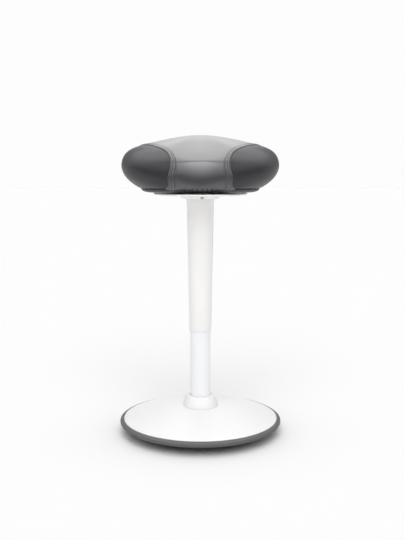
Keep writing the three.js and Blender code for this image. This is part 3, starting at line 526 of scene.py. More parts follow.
LOBES = ("back", "left", "right")
LOBE_TURN = 2 * math.pi / 3
BACK = math.pi / 2
EDGE_HEIGHTS = (53.7 * MM, 63.5 * MM)  # of the widest edge
CROWNS = (37.7 * MM, 54 * MM)  # rise of the dome from the shoulder to the crown
CROWN_POWERS = (1.51, 2.0)  # how the dome falls away
CROWN_ROUND = 0.14  # share of the way out in which the crown is rounded off
CROWN_SHIFTS = np.radians((-16, -10, -4, 4, 10, 16))  # turns over which the outline is evened out near the crown
CROWN_BLEND = (0.35, 0.95)  # shares of the way out between which the true outline takes over
SHOULDER_POWERS = (14.0, 15.0)  # how square the shoulder is
SHOULDER_START = math.pi * 0.09  # where its rows give way to the crown's
HEM_SHARES = (0.755, 0.82)  # distance out of the hem, over that of the widest edge
SIDE_HEM_SHARE = 0.10  # what the side's middle adds to it
HEM_TUCK, HEM_ROUND = 2.4 * MM, 4 * MM  # how far the leather turns under, and over what height
TUCK_CROWDING = 1.3  # how the rows crowd towards the hem
SKIN_ROWS, FOAM_ROWS = (34, 26, 52), (10, 8, 16)  # of the tuck, the shoulder and the crown
FOAM_SIDES = 144

# The seams: the radius of their barrel at some heights (the one that it bends by is at the widest edge), eased between
# them, the distance out beyond which a lobe's seam can be, and how finely a seam is traced
SEAM_HEIGHTS = tuple(height * MM for height in (-20, 28, 63, 110, 200))
SEAM_RADII = tuple(out * MM for out in (88, 117.2, 114.6, 109.4, 109.4))
SEAM_BEND = 2
SEAM_EASE = 7 * MM
SEAM_LIMIT = 80 * MM
SEAM_RAYS, SEAM_HALVINGS, SEAM_POINTS = 4001, 44, 900


def off_lobe(angle):
    """Angle from the nearest lobe's middle."""
    turns = (angle - BACK) / LOBE_TURN
    return np.abs(turns - np.round(turns)) * LOBE_TURN


def reach(angle, inset, form):
    """Distance out to the widest edge: round lobes joined by hollow arcs that meet them smoothly."""
    lobe, waist, out = form.lobe_radius - inset, form.waist_radius - inset, form.lobe_offset
    hollow = (out ** 2 + waist ** 2 - out * waist - lobe ** 2) / (2 * lobe - 2 * waist + out)
    far, half = waist + hollow, LOBE_TURN / 2
    part = lobe / (lobe + hollow)
    meet = math.atan2(part * far * math.sin(half), out + part * (far * math.cos(half) - out))
    off = off_lobe(angle)
    on_lobe = out * np.cos(off) + np.sqrt(np.maximum(0, lobe ** 2 - (out * np.sin(off)) ** 2))
    turn = half - off
    on_side = far * np.cos(turn) - np.sqrt(np.maximum(0, hollow ** 2 - (far * np.sin(turn)) ** 2))
    return np.where(off < meet, on_lobe, on_side)


def sideways(angle):
    """How far a direction is on its way from a lobe's middle to a side's."""
    return 0.5 - 0.5 * np.cos(3 * off_lobe(angle))


def between(pair, angle):
    """A value that goes from a lobe's to a side's round the cushion."""
    return pair[0] + (pair[1] - pair[0]) * sideways(angle)


def hem_drop(angle, form):
    """How far the skin's hem hangs below the board in a direction."""
    return form.hem_drop * sideways(angle) ** 2


def under_edge(up, angle, form, inset):
    """Distance out of the tucked side at a share of the way up from its hem to its widest edge."""
    hem = between(HEM_SHARES, angle) + SIDE_HEM_SHARE * sideways(angle) ** 3
    puff = form.side_puff * sideways(angle) ** 2 * 4 * up * (1 - up)
    return reach(angle, inset, form) * np.sqrt(1 - (1 - hem ** 2) * (1 - up) ** 2) + puff


def over_edge(part, angle, form, inset):
    """Height of the cushion above its board at a share of the way out to its edge."""
    edge_height, crown = between(EDGE_HEIGHTS, angle), between(CROWNS, angle)
    shoulder = form.crown_height - inset - edge_height - crown
    edge = reach(angle, inset, form)
    eased = np.mean([reach(angle + shift, inset, form) for shift in CROWN_SHIFTS], axis=0)
    start, end = CROWN_BLEND
    near = np.clip((part - start) / (end - start), 0, 1)
    out = part * edge / (eased + (edge - eased) * near * near * (3 - 2 * near))
    power = between(CROWN_POWERS, angle)
    fall = (out ** 2 + CROWN_ROUND ** 2) ** (power / 2) - CROWN_ROUND ** power
    dome = crown * (1 - fall / ((1 + CROWN_ROUND ** 2) ** (power / 2) - CROWN_ROUND ** power))
    return edge_height + dome + shoulder * np.sqrt(np.maximum(0, 1 - part ** between(SHOULDER_POWERS, angle)))


def section(angle, inset, form, rows):
    """Radii and heights of upright sections at many angles, from the hem up, over the shoulder and in to the crown."""
    tuck_rows, shoulder_rows, crown_rows = rows
    edge, edge_height = reach(angle, inset, form), between(EDGE_HEIGHTS, angle)
    power, drop = between(SHOULDER_POWERS, angle), hem_drop(angle, form)
    radii, heights = [], []
    for i in range(tuck_rows):
        up = (i / tuck_rows) ** TUCK_CROWDING
        radii.append(under_edge(up, angle, form, inset))
        heights.append((edge_height + drop) * up - drop)
    for i in range(shoulder_rows + 1):
        climb = math.pi / 2 + (SHOULDER_START - math.pi / 2) * i / shoulder_rows
        part = math.sin(climb) ** (2 / power)
        radii.append(edge * part)
        heights.append(over_edge(part, angle, form, inset))
    last = part
    for i in range(1, crown_rows):
        part = last * (1 - i / crown_rows)
        radii.append(edge * part)
        heights.append(over_edge(part, angle, form, inset))
    return np.array(radii), np.array(heights)


def form_points(sides, inset, form, rows):
    """Points on the form a distance inside the skin, row by row from the hem, and the angles of their columns."""
    angle = BACK + 2 * math.pi * np.arange(sides) / sides
    radii, heights = section(angle, inset, form, rows)
    return np.stack([radii * np.cos(angle), radii * np.sin(angle), heights], axis=2), angle


def inside_cushion(x, y, z, form):
    """Whether points, with z above the board's underside, are inside the cushion."""
    angle, out = np.arctan2(y, x), np.hypot(x, y)
    edge, edge_height = reach(angle, 0, form), between(EDGE_HEIGHTS, angle)
    drop = hem_drop(angle, form)
    low = out < under_edge(np.clip((z + drop) / (edge_height + drop), 0, 1), angle, form, 0)
    part = np.minimum(out / edge, 1)
    return np.where(z < edge_height, low, (out < edge) & (z < over_edge(part, angle, form, 0))) & (z > -drop)


def tucked(points, form):
    """Points on the skin, pulled in where the leather turns under at its hem."""
    out = np.hypot(points[..., 0], points[..., 1])
    above = points[..., 2] + hem_drop(np.arctan2(points[..., 1], points[..., 0]), form)
    ratio = 1 - HEM_TUCK * np.clip(1 - above / HEM_ROUND, 0, 1) ** 2 / np.maximum(out, MM)
    shaped = points.copy()
    shaped[..., :2] *= ratio[..., None]
    return shaped


def unit(vectors):
    """Vectors made one long."""
    return vectors / np.maximum(np.linalg.norm(vectors, axis=-1, keepdims=True), 1e-12)


def skin_normals(points):
    """Unit normals of a grid of points on the skin, row by row from the hem."""
    across = np.roll(points, -1, axis=1) - np.roll(points, 1, axis=1)
    return unit(np.cross(across, np.gradient(points, axis=0)))


def lengths_along(line):
    """How far along a line each of its points is."""
    return np.concatenate([[0], np.cumsum(np.linalg.norm(np.diff(line, axis=0), axis=1))])


def nearest(points):
    """A tree that finds the nearest of some points."""
    tree = KDTree(len(points))
    for i, place in enumerate(points):
        tree.insert(place, i)
    tree.balance()
    return tree


def lobe_axis(lobe):
    """Direction from the middle to a lobe."""
    angle = BACK + lobe * LOBE_TURN
    return np.array([math.cos(angle), math.sin(angle)])


def seam_radius(height):
    """Radius of the upright barrel that a seam runs on, eased from one measured height to the next."""
    shifts = np.linspace(-SEAM_EASE, SEAM_EASE, 9)
    return np.mean([np.interp(height + shift, SEAM_HEIGHTS, SEAM_RADII) for shift in shifts], axis=0)


def seam_line(lobe, apart, stations, form):
    """Points along the cushion's surface at a distance apart from a lobe's seam, evenly spread from hem to hem."""
    axis = lobe_axis(lobe)
    side = np.array([-axis[1], axis[0]])
    middle, bend = 0.55 * form.crown_height, SEAM_RADII[SEAM_BEND]
    turn = np.linspace(-0.5 * math.pi, 1.5 * math.pi, SEAM_RAYS)
    low, high = np.zeros_like(turn), np.full_like(turn, 2 * form.crown_height)

    def at(distance):
        swing, height = distance * np.cos(turn) / bend, middle + distance * np.sin(turn)
        out = (seam_radius(height) + apart)[:, None]
        xy = axis * form.seam_centre + out * (np.cos(swing)[:, None] * axis + np.sin(swing)[:, None] * side)
        return xy[:, 0], xy[:, 1], height

    for _ in range(SEAM_HALVINGS):
        half = (low + high) / 2
        held = inside_cushion(*at(half), form)
        low, high = np.where(held, half, low), np.where(held, high, half)
    points = np.stack(at(low), axis=1)
    shown = points[:, 2] + hem_drop(np.arctan2(points[:, 1], points[:, 0]), form) > 0.02 * MM
    first = np.argmax(shown)
    last = len(shown) - np.argmax(shown[::-1])
    line = points[first:last]
    steps = lengths_along(line)
    even = np.linspace(0, steps[-1], stations)
    return np.stack([np.interp(even, steps, line[:, i]) for i in range(3)], axis=1)


def seam_distance(points, lobe, form):
    """How far points are beyond a lobe's seam, towards the end of the lobe."""
    axis = lobe_axis(lobe)
    out = np.linalg.norm(points[:, :2] - axis * form.seam_centre, axis=1)
    return np.where(points[:, :2] @ axis > SEAM_LIMIT, out - seam_radius(points[:, 2]), -form.lobe_radius)


def nearest_seam(points, form):
    """How far each point of an array is from the nearest seam."""
    flat = points.reshape(-1, 3)
    return np.min([np.abs(seam_distance(flat, lobe, form)) for lobe in range(3)], axis=0).reshape(points.shape[:-1])


class STOOL_OT_sole(bpy.types.Operator):
    """Rubber sole: a shallow dome with a flat foot and three grip grooves"""
    bl_idname = "stool.sole"
    bl_label = "Sole"

    def execute(self, context):
        flat, dome, thick = 60 * MM, 860 * MM, 6 * MM
        first_groove, groove_pitch, groove_width, groove_depth = 72 * MM, 34 * MM, 3 * MM, 1.6 * MM
        edge, border = radius("rocker_sole"), 20 * MM
        drop = dome - math.sqrt(dome ** 2 - flat ** 2)

        def rise(out):
            return 0 if out <= flat else dome - math.sqrt(dome ** 2 - out ** 2) - drop

        profile = [(flat, 0)]
        for i in range(3):
            near = first_groove + groove_pitch * i
            far = near + groove_width
            profile += [(near, rise(near)), (near, rise(near) + groove_depth),
                        (far, rise(far) + groove_depth), (far, rise(far))]
        profile += [(edge - border, rise(edge - border)), (edge, rise(edge))]
        profile += [(out, rise(out) + thick) for out in spread(edge, flat, 8)]
        sole = turned("sole", profile, context.scene.stool_sizes.rim_sides, closed=False)
        complete(sole, 0.5 * MM, "sole_rubber", "base", "rocker_sole")
        return {"FINISHED"}


class STOOL_OT_cover(bpy.types.Operator):
    """Painted cover of the base: a shallow dome with a turned-down edge"""
    bl_idname = "stool.cover"
    bl_label = "Base cover"

    def execute(self, context):
        sizes = context.scene.stool_sizes
        wall, edge = sizes.cover_wall, radius("base_cover")
        crown, low = top("base_cover"), foot("base_cover")
        inside, bore = radius("column_collar"), 33 * MM
        turn_down, bend, chamfer = 3.5 * MM, 2.4 * MM, 0.7 * MM
        rim, shoulder = low + turn_down, edge - bend
        fall = (crown - rim) / (shoulder ** 2 - inside ** 2)

        def height(out):
            return crown - fall * (out ** 2 - inside ** 2)

        outs = spread(inside, shoulder, 16)
        profile = [(bore, crown)] + [(out, height(out)) for out in outs]
        profile += [(edge - chamfer, rim - chamfer), (edge, rim - bend), (edge, low), (edge - wall, low)]
        profile += [(shoulder - wall / 2, rim - wall)]
        profile += [(out, height(out) - wall) for out in reversed(outs[:-1])] + [(bore, crown - wall)]
        cover = turned("base_dome", profile, sizes.rim_sides)
        complete(cover, 0.3 * MM, "white_paint", "base", "base_cover", angle=40)
        return {"FINISHED"}


class STOOL_OT_rim(bpy.types.Operator):
    """Charcoal rubber rim with a groove round its face and a bevel below"""
    bl_idname = "stool.rim"
    bl_label = "Rim"

    def execute(self, context):
        outer, low, high = radius("rim_bumper"), foot("rim_bumper"), top("rim_bumper")
        gap = 0.3 * MM
        inner, cover_side = radius("base_weight") + gap, radius("base_cover") + gap
        step = foot("base_cover") - gap
        groove, half_groove, groove_depth = (low + high) / 2, 1.2 * MM, 0.8 * MM
        bevel_foot, bevel_top = (outer - 5.7 * MM, low), (outer - 1.3 * MM, low + 3.8 * MM)
        crown = [(outer - inward, high - down) for inward, down in
                 ((0.8 * MM, 3.6 * MM), (3.8 * MM, 1.5 * MM), (7.2 * MM, 0.3 * MM))]
        face = [(outer, groove - half_groove), (outer - groove_depth, groove), (outer, groove + half_groove)]
        profile = [(inner, low), bevel_foot, bevel_top] + face + crown
        profile += [(cover_side, high - 0.4 * MM), (cover_side, step), (inner, step)]
        rim = turned("rim", profile, context.scene.stool_sizes.rim_sides)
        complete(rim, 0.5 * MM, "dark_rubber", "base", "rim_bumper", angle=18)
        return {"FINISHED"}


class STOOL_OT_collar(bpy.types.Operator):
    """White collar round the foot of the column, with the dark seal in its mouth"""
    bl_idname = "stool.collar"
    bl_label = "Collar"

    def execute(self, context):
        sides = context.scene.stool_sizes.tube_sides
        base, low, high = radius("column_collar"), foot("column_collar"), top("column_collar")
        crown, mouth, room, lip = 35 * MM, 26.1 * MM, 32.5 * MM, 2.5 * MM
        edge, crown_drop, lean_power = 1.2 * MM, 2 * MM, 1.5
        tall, lean = high - low - edge - crown_drop, base - crown
        profile = [(room, low), (base, low), (base, low + edge)]
        profile += [(base - lean * up ** lean_power, low + edge + tall * up) for up in spread(0, 1, 11)[1:]]
        profile += [(crown - inward, high - down) for inward, down in
                    ((0.5 * MM, 1.2 * MM), (1.8 * MM, 0.3 * MM), (4 * MM, 0))]
        profile += [(mouth, high), (mouth, high - lip), (room, high - lip)]
        collar = turned("collar", profile, sides)
        # The collar takes the darker copy of the white plastic, painted shade where it would render too bright
        complete(collar, 0.35 * MM, "white_plastic", "base", "column_collar", angle=40, finish="collar_plastic")
        seal_low, seal_high = foot("collar_seal"), top("collar_seal")
        bore, edge = radius("stand_tube") + 0.3 * MM, radius("collar_seal")
        seal = turned("seal", [(bore, seal_low), (edge, seal_low), (edge, seal_high), (bore, seal_high)], sides)
        complete(seal, 0.6 * MM, "sole_rubber", "base", "collar_seal")
        return {"FINISHED"}


class STOOL_OT_column(bpy.types.Operator):
    """White stand tube and the tapered sleeve that slides over it"""
    bl_idname = "stool.column"
    bl_label = "Column"

    def execute(self, context):
        sizes = context.scene.stool_sizes
        outer, low, high = radius("stand_tube"), foot("stand_tube"), top("stand_tube")
        wall, taper, drop = 2 * MM, 67 * MM, 0.8 * MM
        tube = turned("stand", [
            (outer - wall - drop, low), (outer - drop, low), (outer, low + taper), (outer, high),
            (outer - wall, high), (outer - wall, low + taper),
        ], sizes.tube_sides)
        complete(tube, 0.4 * MM, "white_paint", "base", "stand_tube", finish="tube_paint")
        crown, mouth, wall = radius("column_sleeve"), 27.25 * MM, sizes.sleeve_wall
        rows = list(zip(spread(mouth, crown, 8), spread(foot("column_sleeve"), top("column_sleeve"), 8)))
        sleeve = turned("sleeve", rows + [(out - wall, height) for out, height in reversed(rows)], sizes.tube_sides)
        complete(sleeve, 0.6 * MM, "white_plastic", SEAT_BODY, "column_sleeve")
        return {"FINISHED"}


class STOOL_OT_boss(bpy.types.Operator):
    """White boss under the seat, with a small round-ended hole in its front and a doorway for the lever behind"""
    bl_idname = "stool.boss"
    bl_label = "Boss"

    def execute(self, context):
        low, high = foot("mechanism_cover"), top("mechanism_cover")
        base, rim, spigot = 33.6 * MM, radius("mechanism_cover"), 43.3 * MM
        wall, sleeve_spigot = 2.5 * MM, radius("column_sleeve") - 1.9 * MM
        start, end = BOARD - 27 * MM, BOARD - 16.4 * MM
        flare, rise, lip = rim - base, end - start, 1.2 * MM
        profile = [(sleeve_spigot - wall, low), (sleeve_spigot, low), (sleeve_spigot, start)]
        profile += [(base + flare * math.sin(turn) ** 0.9, start + (rise - lip) * (1 - math.cos(turn)))
                    for turn in spread(0, math.pi / 2, 8)]
        profile += [(rim - lip / 2, end), (spigot, end), (spigot, high), (spigot - wall, high),
                    (spigot - wall, start + rise * 0.75), (base + flare * 0.35, start + rise * 0.22 + wall / 2),
                    (sleeve_spigot - wall, start + wall)]
        boss = turned("boss", profile, context.scene.stool_sizes.tube_sides)
        slot_place, slot_size = (4.4 * MM, -40 * MM, start + rise * 0.45), (8 * MM, 30 * MM, 3 * MM)
        cut(boss, self.block(slot_place, slot_size, 1.49 * MM))
        door_place = (0, 45 * MM, (end + high) / 2 + 2 * MM)
        cut(boss, self.block(door_place, (13.2 * MM, 20 * MM, high - end + 4.6 * MM), 1 * MM))
        complete(boss, 0.4 * MM, "white_plastic", SEAT_BODY, "mechanism_cover", angle=40, segments=2)
        return {"FINISHED"}

    def block(self, place, size, corner):
        """A block whose four edges along Y are rounded, to cut with."""
        deselect()
        bpy.ops.mesh.primitive_cube_add(size=1, location=place, scale=size)
        block = bpy.context.object
        bpy.ops.object.transform_apply(location=True, rotation=False, scale=True)
        bpy.ops.object.mode_set(mode="EDIT")
        bpy.ops.mesh.select_mode(type="EDGE")
        bpy.ops.mesh.select_all(action="DESELECT")
        bpy.ops.object.mode_set(mode="OBJECT")
        for edge in block.data.edges:
            a, b = (block.data.vertices[i].co for i in edge.vertices)
            edge.select = abs(a.x - b.x) < SAME and abs(a.z - b.z) < SAME
        bpy.ops.object.mode_set(mode="EDIT")
        bpy.ops.mesh.bevel(offset=corner, segments=6)
        bpy.ops.object.mode_set(mode="OBJECT")
        return block


class STOOL_OT_ring(bpy.types.Operator):
    """White lift ring: a shallow dish with a raised rim"""
    bl_idname = "stool.ring"
    bl_label = "Lift ring"

    def execute(self, context):
        outer, low, high = radius("release_ring"), foot("release_ring"), top("release_ring")
        inner, thick = 44 * MM, 2.5 * MM
        dish, rim = outer - 14 * MM, 4 * MM
        lift, side_foot, side_top, chamfer = 0.3 * MM, 1.4 * MM, 0.4 * MM, 1 * MM
        under, over = outer - rim / 2 - dish, outer - rim - dish
        parts = spread(0, 1, 4)[1:]
        profile = [(inner, low), (dish, low)]
        profile += [(dish + under * part, low + lift * part ** 2) for part in parts]
        profile += [(outer, low + side_foot), (outer, high - side_top), (outer - chamfer, high), (outer - rim, high)]
        profile += [(outer - rim - over * part, high - (high - low - thick) * part) for part in parts]
        profile += [(inner, low + thick)]
        ring = turned("lift_ring", profile, context.scene.stool_sizes.rim_sides)
        complete(ring, 0.4 * MM, "white_plastic", "ring", "release_ring")
        return {"FINISHED"}


class STOOL_OT_pan(bpy.types.Operator):
    """Black moulded pan that closes the underside of the seat, with the holes of its three screws"""
    bl_idname = "stool.pan"
    bl_label = "Seat pan"

    def execute(self, context):
        sizes, form = context.scene.stool_sizes, context.scene.stool_cushion
        low, high, wall, bore = foot("seat_pan"), BOARD - 0.3 * MM, sizes.pan_wall, sizes.pan_bore / 2
        flat_share, hem_gap = 0.63, 0.8 * MM
        screw_circle, screw_radius, screw_length = 122 * MM, 2 * MM, 20 * MM

        def hem(angle):
            hung = min(1.0, 4 * float(sideways(angle)) ** 2)
            return float(under_edge(0, angle, form, 0)) - (form.skin_thickness + hem_gap) * hung

        def flat(angle):
            return max(float(reach(angle, 0, form)) * flat_share, bore + wall)

        def bowl(step, inward):
            turn = math.pi / 2 * step
            return lambda angle: (
                flat(angle) + (hem(angle) - flat(angle)) * math.sin(turn) - wall * step * inward,
                low + (high - low) * (1 - math.cos(turn)) + wall * (1 - step) * inward,
            )

        steps = spread(0, 1, 10)
        rings = [lambda angle: (bore, low)] + [bowl(step, 0) for step in steps]
        rings += [bowl(step, 1) for step in reversed(steps)] + [lambda angle: (bore, low + wall)]
        pan = self.lobed("pan", rings, 240)
        for lobe in range(3):
            x, y = screw_circle * lobe_axis(lobe)
            deselect()
            bpy.ops.mesh.primitive_cylinder_add(vertices=32, radius=screw_radius, depth=screw_length,
                                                location=(x, y, low))
            hole = bpy.context.object
            bpy.ops.object.transform_apply(location=True, rotation=False, scale=False)
            cut(pan, hole)
        complete(pan, 0.4 * MM, "black_plastic", SEAT_BODY, "seat_pan", angle=40, segments=2)
        return {"FINISHED"}

    def lobed(self, name, rings, sides):
        """A circle pulled out ring by ring, each ring set to its own three-lobed outline, and closed on itself."""
        start, step = 100 * MM, 10 * MM
        deselect()
        bpy.ops.mesh.primitive_circle_add(vertices=sides, radius=start, location=(0, 0, 0))
        piece = bpy.context.object
        piece.name = piece.data.name = name
        bpy.ops.object.mode_set(mode="EDIT")
        bpy.ops.mesh.select_mode(type="EDGE")
        bpy.ops.mesh.select_all(action="SELECT")
        for _ in rings[1:]:
            bpy.ops.mesh.extrude_edges_move(TRANSFORM_OT_translate={"value": (0, 0, step)})
        bpy.ops.mesh.select_all(action="DESELECT")
        bpy.ops.mesh.select_non_manifold()
        bpy.ops.mesh.bridge_edge_loops()
        bpy.ops.object.mode_set(mode="OBJECT")
        for vertex in piece.data.vertices:
            angle = math.atan2(vertex.co.y, vertex.co.x)
            out, height = rings[round(vertex.co.z / step)](angle)
            vertex.co = (out * math.cos(angle), out * math.sin(angle), height)
        outward(piece)
        return piece


class STOOL_OT_cushion(bpy.types.Operator):
    """Leather skin of the cushion: a centre panel and a cap over each lobe, drawn in at the seams and the hem"""
    bl_idname = "stool.cushion"
    bl_label = "Cushion"

    def execute(self, context):
        form = context.scene.stool_cushion
        seam_gap = 0.3 * MM
        points, angle = form_points(form.sides, 0, form, SKIN_ROWS)
        points = self.puffed(points, form)
        points = self.drawn_in(self.gathered(points, angle, form), form)
        flat = np.vstack([points.reshape(-1, 3), [0, 0, form.crown_height]])
        quads, fan, _ = net_faces(*points.shape[:2])
        centres = flat[quads].mean(axis=1)
        owner = np.full(len(quads), -1)
        for lobe in range(3):
            owner[seam_distance(centres, lobe, form) > 0] = lobe
        for lobe in (-1, 0, 1, 2):
            own = quads[owner == lobe]
            other = set(np.unique(quads[owner != lobe]))
            edge = [v for v in np.unique(own) if v in other]
            moved = flat.copy()
            self.snap(moved, edge, -seam_gap if lobe < 0 else seam_gap, form)
            faces = own.tolist() + (fan if lobe < 0 else [])
            used = sorted({v for face in faces for v in face})
            new = {v: i for i, v in enumerate(used)}
            name, node, finish = "panel_centre", "centre_panel", None
            if lobe >= 0:
                # The caps take the darker copy of the black leather, painted shade for their dimmer sheen
                name, node, finish = "cap_" + LOBES[lobe], "lobe_cap_" + LOBES[lobe], "soft_leather"
            panel = grid_mesh(name, moved[used] + np.array([0, 0, BOARD]), [[new[v] for v in face] for face in faces])
            modify(panel, "SOLIDIFY", thickness=form.skin_thickness, offset=-1)
            smooth(panel, 60)
            dress(panel, "black_leather", SEAT_BODY, node, finish=finish)
        return {"FINISHED"}

    def puffed(self, points, form):
        """Lets the skin swell as cloth that is held at its seams and hem, and takes over how far it rose."""
        cell, limit, frames = 5 * MM, 2 * MM, 20
        neighbours, blur = 14, 1.6
        seam_ease, hem_ease = 16 * MM, 10 * MM
        quads, fan, base = net_faces(*points.shape[:2])
        whole = np.vstack([points.reshape(-1, 3), [0, 0, form.crown_height]])
        skin = grid_mesh("skin_form", whole, quads.tolist() + fan + base)
        modify(skin, "REMESH", mode="VOXEL", voxel_size=cell)
        start = np.array([v.co for v in skin.data.vertices])
        held = skin.vertex_groups.new(name="held")
        for v in np.nonzero((nearest_seam(start, form) < cell) | (start[:, 2] < cell))[0]:
            held.add([int(v)], 1.0, "REPLACE")
        settings = skin.modifiers.new("Cloth", "CLOTH").settings
        settings.quality = 6
        settings.tension_stiffness = settings.compression_stiffness = 25
        settings.bending_stiffness = 6
        settings.use_pressure = True
        settings.uniform_pressure_force = 4
        settings.vertex_group_mass = "held"
        settings.effector_weights.gravity = 0
        for step in range(1, frames + 1):
            bpy.context.scene.frame_set(step)
        swollen = skin.evaluated_get(bpy.context.evaluated_depsgraph_get()).to_mesh()
        moved = np.array([v.co for v in swollen.vertices]) - start
        bpy.context.scene.frame_set(1)
        bpy.data.objects.remove(skin)
        tree, normals = nearest(start), skin_normals(points)
        rise = np.zeros(points.shape[:2])
        for row, side in np.ndindex(rise.shape):
            found = tree.find_n(points[row, side], neighbours)
            near = [i for _, i, _ in found]
            weight = np.exp(-(np.array([far for _, _, far in found]) / (blur * cell)) ** 2)
            rise[row, side] = weight @ (moved[near] @ normals[row, side]) / weight.sum()
        free = np.clip(nearest_seam(points, form) / seam_ease, 0, 1) * np.clip(points[:, :, 2] / hem_ease, 0, 1)
        return points + normals * (np.clip(rise, -limit, limit) * free)[:, :, None]

    def gathered(self, points, angle, form):
        """Small pleats where the leather is drawn under the board, deepest on the hollow sides, and a rounded hem."""
        spacings, widths, strengths = (8 * MM, 15 * MM), (1.6 * MM, 2.6 * MM), (0.4, 1.0)
        lobe_depth, side_depth, reach_up, lift = 0.3 * MM, 3.2 * MM, 5 * MM, 1.3
        draw = np.random.default_rng(7)
        outs = np.hypot(points[:, :, 0], points[:, :, 1])
        above = points[:, :, 2] + hem_drop(angle, form)
        pleats = np.zeros(len(angle))
        place, hem_length = 0.0, float(np.mean(outs[0])) * 2 * math.pi
        while place < hem_length:
            centre = 2 * math.pi * place / hem_length
            near = np.abs((angle - BACK - centre + math.pi) % (2 * math.pi) - math.pi) * outs[0]
            pleats += draw.uniform(*strengths) * np.exp(-(near / draw.uniform(*widths)) ** 2)
            place += draw.uniform(*spacings)
        pleats *= lobe_depth + side_depth * sideways(angle) ** 3
        fade = np.exp(-(above / reach_up) ** 1.5)
        points = tucked(points, form)
        points[:, :, :2] *= (1 - pleats * fade / outs)[:, :, None]
        points[:, :, 2] += lift * pleats * sideways(angle) ** 2 * fade
        return points

    def drawn_in(self, points, form):
        """Sinks the skin under each seam strip, with a soft shoulder beside it."""
        depth, shoulder = 0.7 * MM, 3 * MM
        beside = np.maximum(0, nearest_seam(points, form) - form.strip_width / 2)
        return points - skin_normals(points) * (depth * np.exp(-(beside / shoulder) ** 2))[:, :, None]

    def snap(self, points, edge, apart, form):
        """Moves the vertices along a panel's sewn edge onto the line of the nearest seam."""
        lines = np.vstack([seam_line(lobe, apart, SEAM_POINTS, form) for lobe in range(3)])
        tree = nearest(tucked(lines, form))
        for v in edge:
            points[v] = tuple(tree.find(points[v])[0])


class STOOL_OT_seams(bpy.types.Operator):
    """Strips sewn over the seams, with two rows of stitches on each"""
    bl_idname = "stool.seams"
    bl_label = "Seams"

    def execute(self, context):
        form = context.scene.stool_cushion
        half, row, groove = form.strip_width / 2, form.row_offset, 0.4 * MM
        stations, sunk = 200, 1.3 * MM
        # Across half a strip, from its edge to the seam: how far from the seam, and how far above the skin
        profile = [(half, -0.7 * MM), (0.95 * half, 0.35 * MM), (0.87 * half, 0.8 * MM),
                   (row + groove, 0.6 * MM), (row, -0.1 * MM), (row - groove, 0.65 * MM),
                   (0.5 * row, 1.15 * MM), (0.22 * row, 0.85 * MM), (0.09 * row, -0.15 * MM)]
        profile = [(-out, lift) for out, lift in profile] + [(0, -0.3 * MM)] + profile[::-1]
        lifts = np.array([lift for _, lift in profile])
        stitch = self.one_stitch(form)
        for lobe in range(3):
            lines = tucked(np.array([seam_line(lobe, out, stations, form) for out, _ in profile]), form)
            normal = self.normals(lines)
            below = (lines - normal * sunk)[1:-1][::-1]
            loop = np.concatenate([lines + normal * lifts[:, None, None], below])
            loop[:, :, 2] += BOARD
            tall = len(loop)
            index = np.arange(tall * stations).reshape(tall, stations)
            after = np.roll(index, -1, axis=0)
            quads = np.stack([index[:, :-1], after[:, :-1], after[:, 1:], index[:, 1:]], axis=2).reshape(-1, 4)
            ends = [index[:, 0].tolist(), index[::-1, -1].tolist()]
            strip = grid_mesh("strip_" + LOBES[lobe], loop.reshape(-1, 3), quads.tolist() + ends)
            outward(strip)
            smooth(strip, 50)
            dress(strip, "black_leather", SEAT_BODY, "seam_strip_" + LOBES[lobe])
            self.sew(lobe, stitch, form)
        bpy.data.objects.remove(stitch)
        return {"FINISHED"}

    def normals(self, lines):
        """Unit normals of a strip of the surface, out of the cushion."""
        normal = unit(np.cross(np.gradient(lines, axis=1), np.gradient(lines, axis=0)))
        outside = lines - np.array([0, 0, 50 * MM])
        return normal * np.sign((normal * outside).sum(axis=2, keepdims=True))

    def one_stitch(self, form):
        """A stitch along X: a small ball drawn out and flattened."""
        thickness = 0.8 * form.stitch_width
        deselect()
        bpy.ops.mesh.primitive_uv_sphere_add(segments=8, ring_count=6, radius=0.5)
        stitch = bpy.context.object
        bpy.ops.object.mode_set(mode="EDIT")
        bpy.ops.mesh.select_all(action="SELECT")
        bpy.ops.transform.resize(value=(form.stitch_length, form.stitch_width, thickness))
        bpy.ops.object.mode_set(mode="OBJECT")
        return stitch

    def sew(self, lobe, stitch, form):
        """Copies the stitch along both rows of a seam."""
        base = np.array([v.co for v in stitch.data.vertices])
        shell = [list(p.vertices) for p in stitch.data.polygons]
        beside, lift = 0.3 * MM, 0.25 * MM
        points, faces = [], []
        for apart in (-form.row_offset, form.row_offset):
            lines = [seam_line(lobe, apart + d, SEAM_POINTS, form) for d in (-beside, 0, beside)]
            lines = tucked(np.array(lines), form)
            line, normal = lines[1], self.normals(lines)[1]
            steps = lengths_along(line)
            place = form.stitch_pitch
            while place < steps[-1] - form.stitch_pitch:
                i = int(np.searchsorted(steps, place))
                ahead = unit(line[min(i + 2, len(line) - 1)] - line[max(i - 2, 0)])
                side = np.cross(normal[i], ahead)
                middle = line[i] + normal[i] * lift + np.array([0, 0, BOARD])
                faces += [[len(points) + v for v in face] for face in shell]
                points += (middle + base @ np.array([ahead, side, normal[i]])).tolist()
                place += form.stitch_pitch
        thread = grid_mesh("stitches_" + LOBES[lobe], points, faces)
        smooth(thread, 80)
        dress(thread, "black_leather", SEAT_BODY, finish="thread")


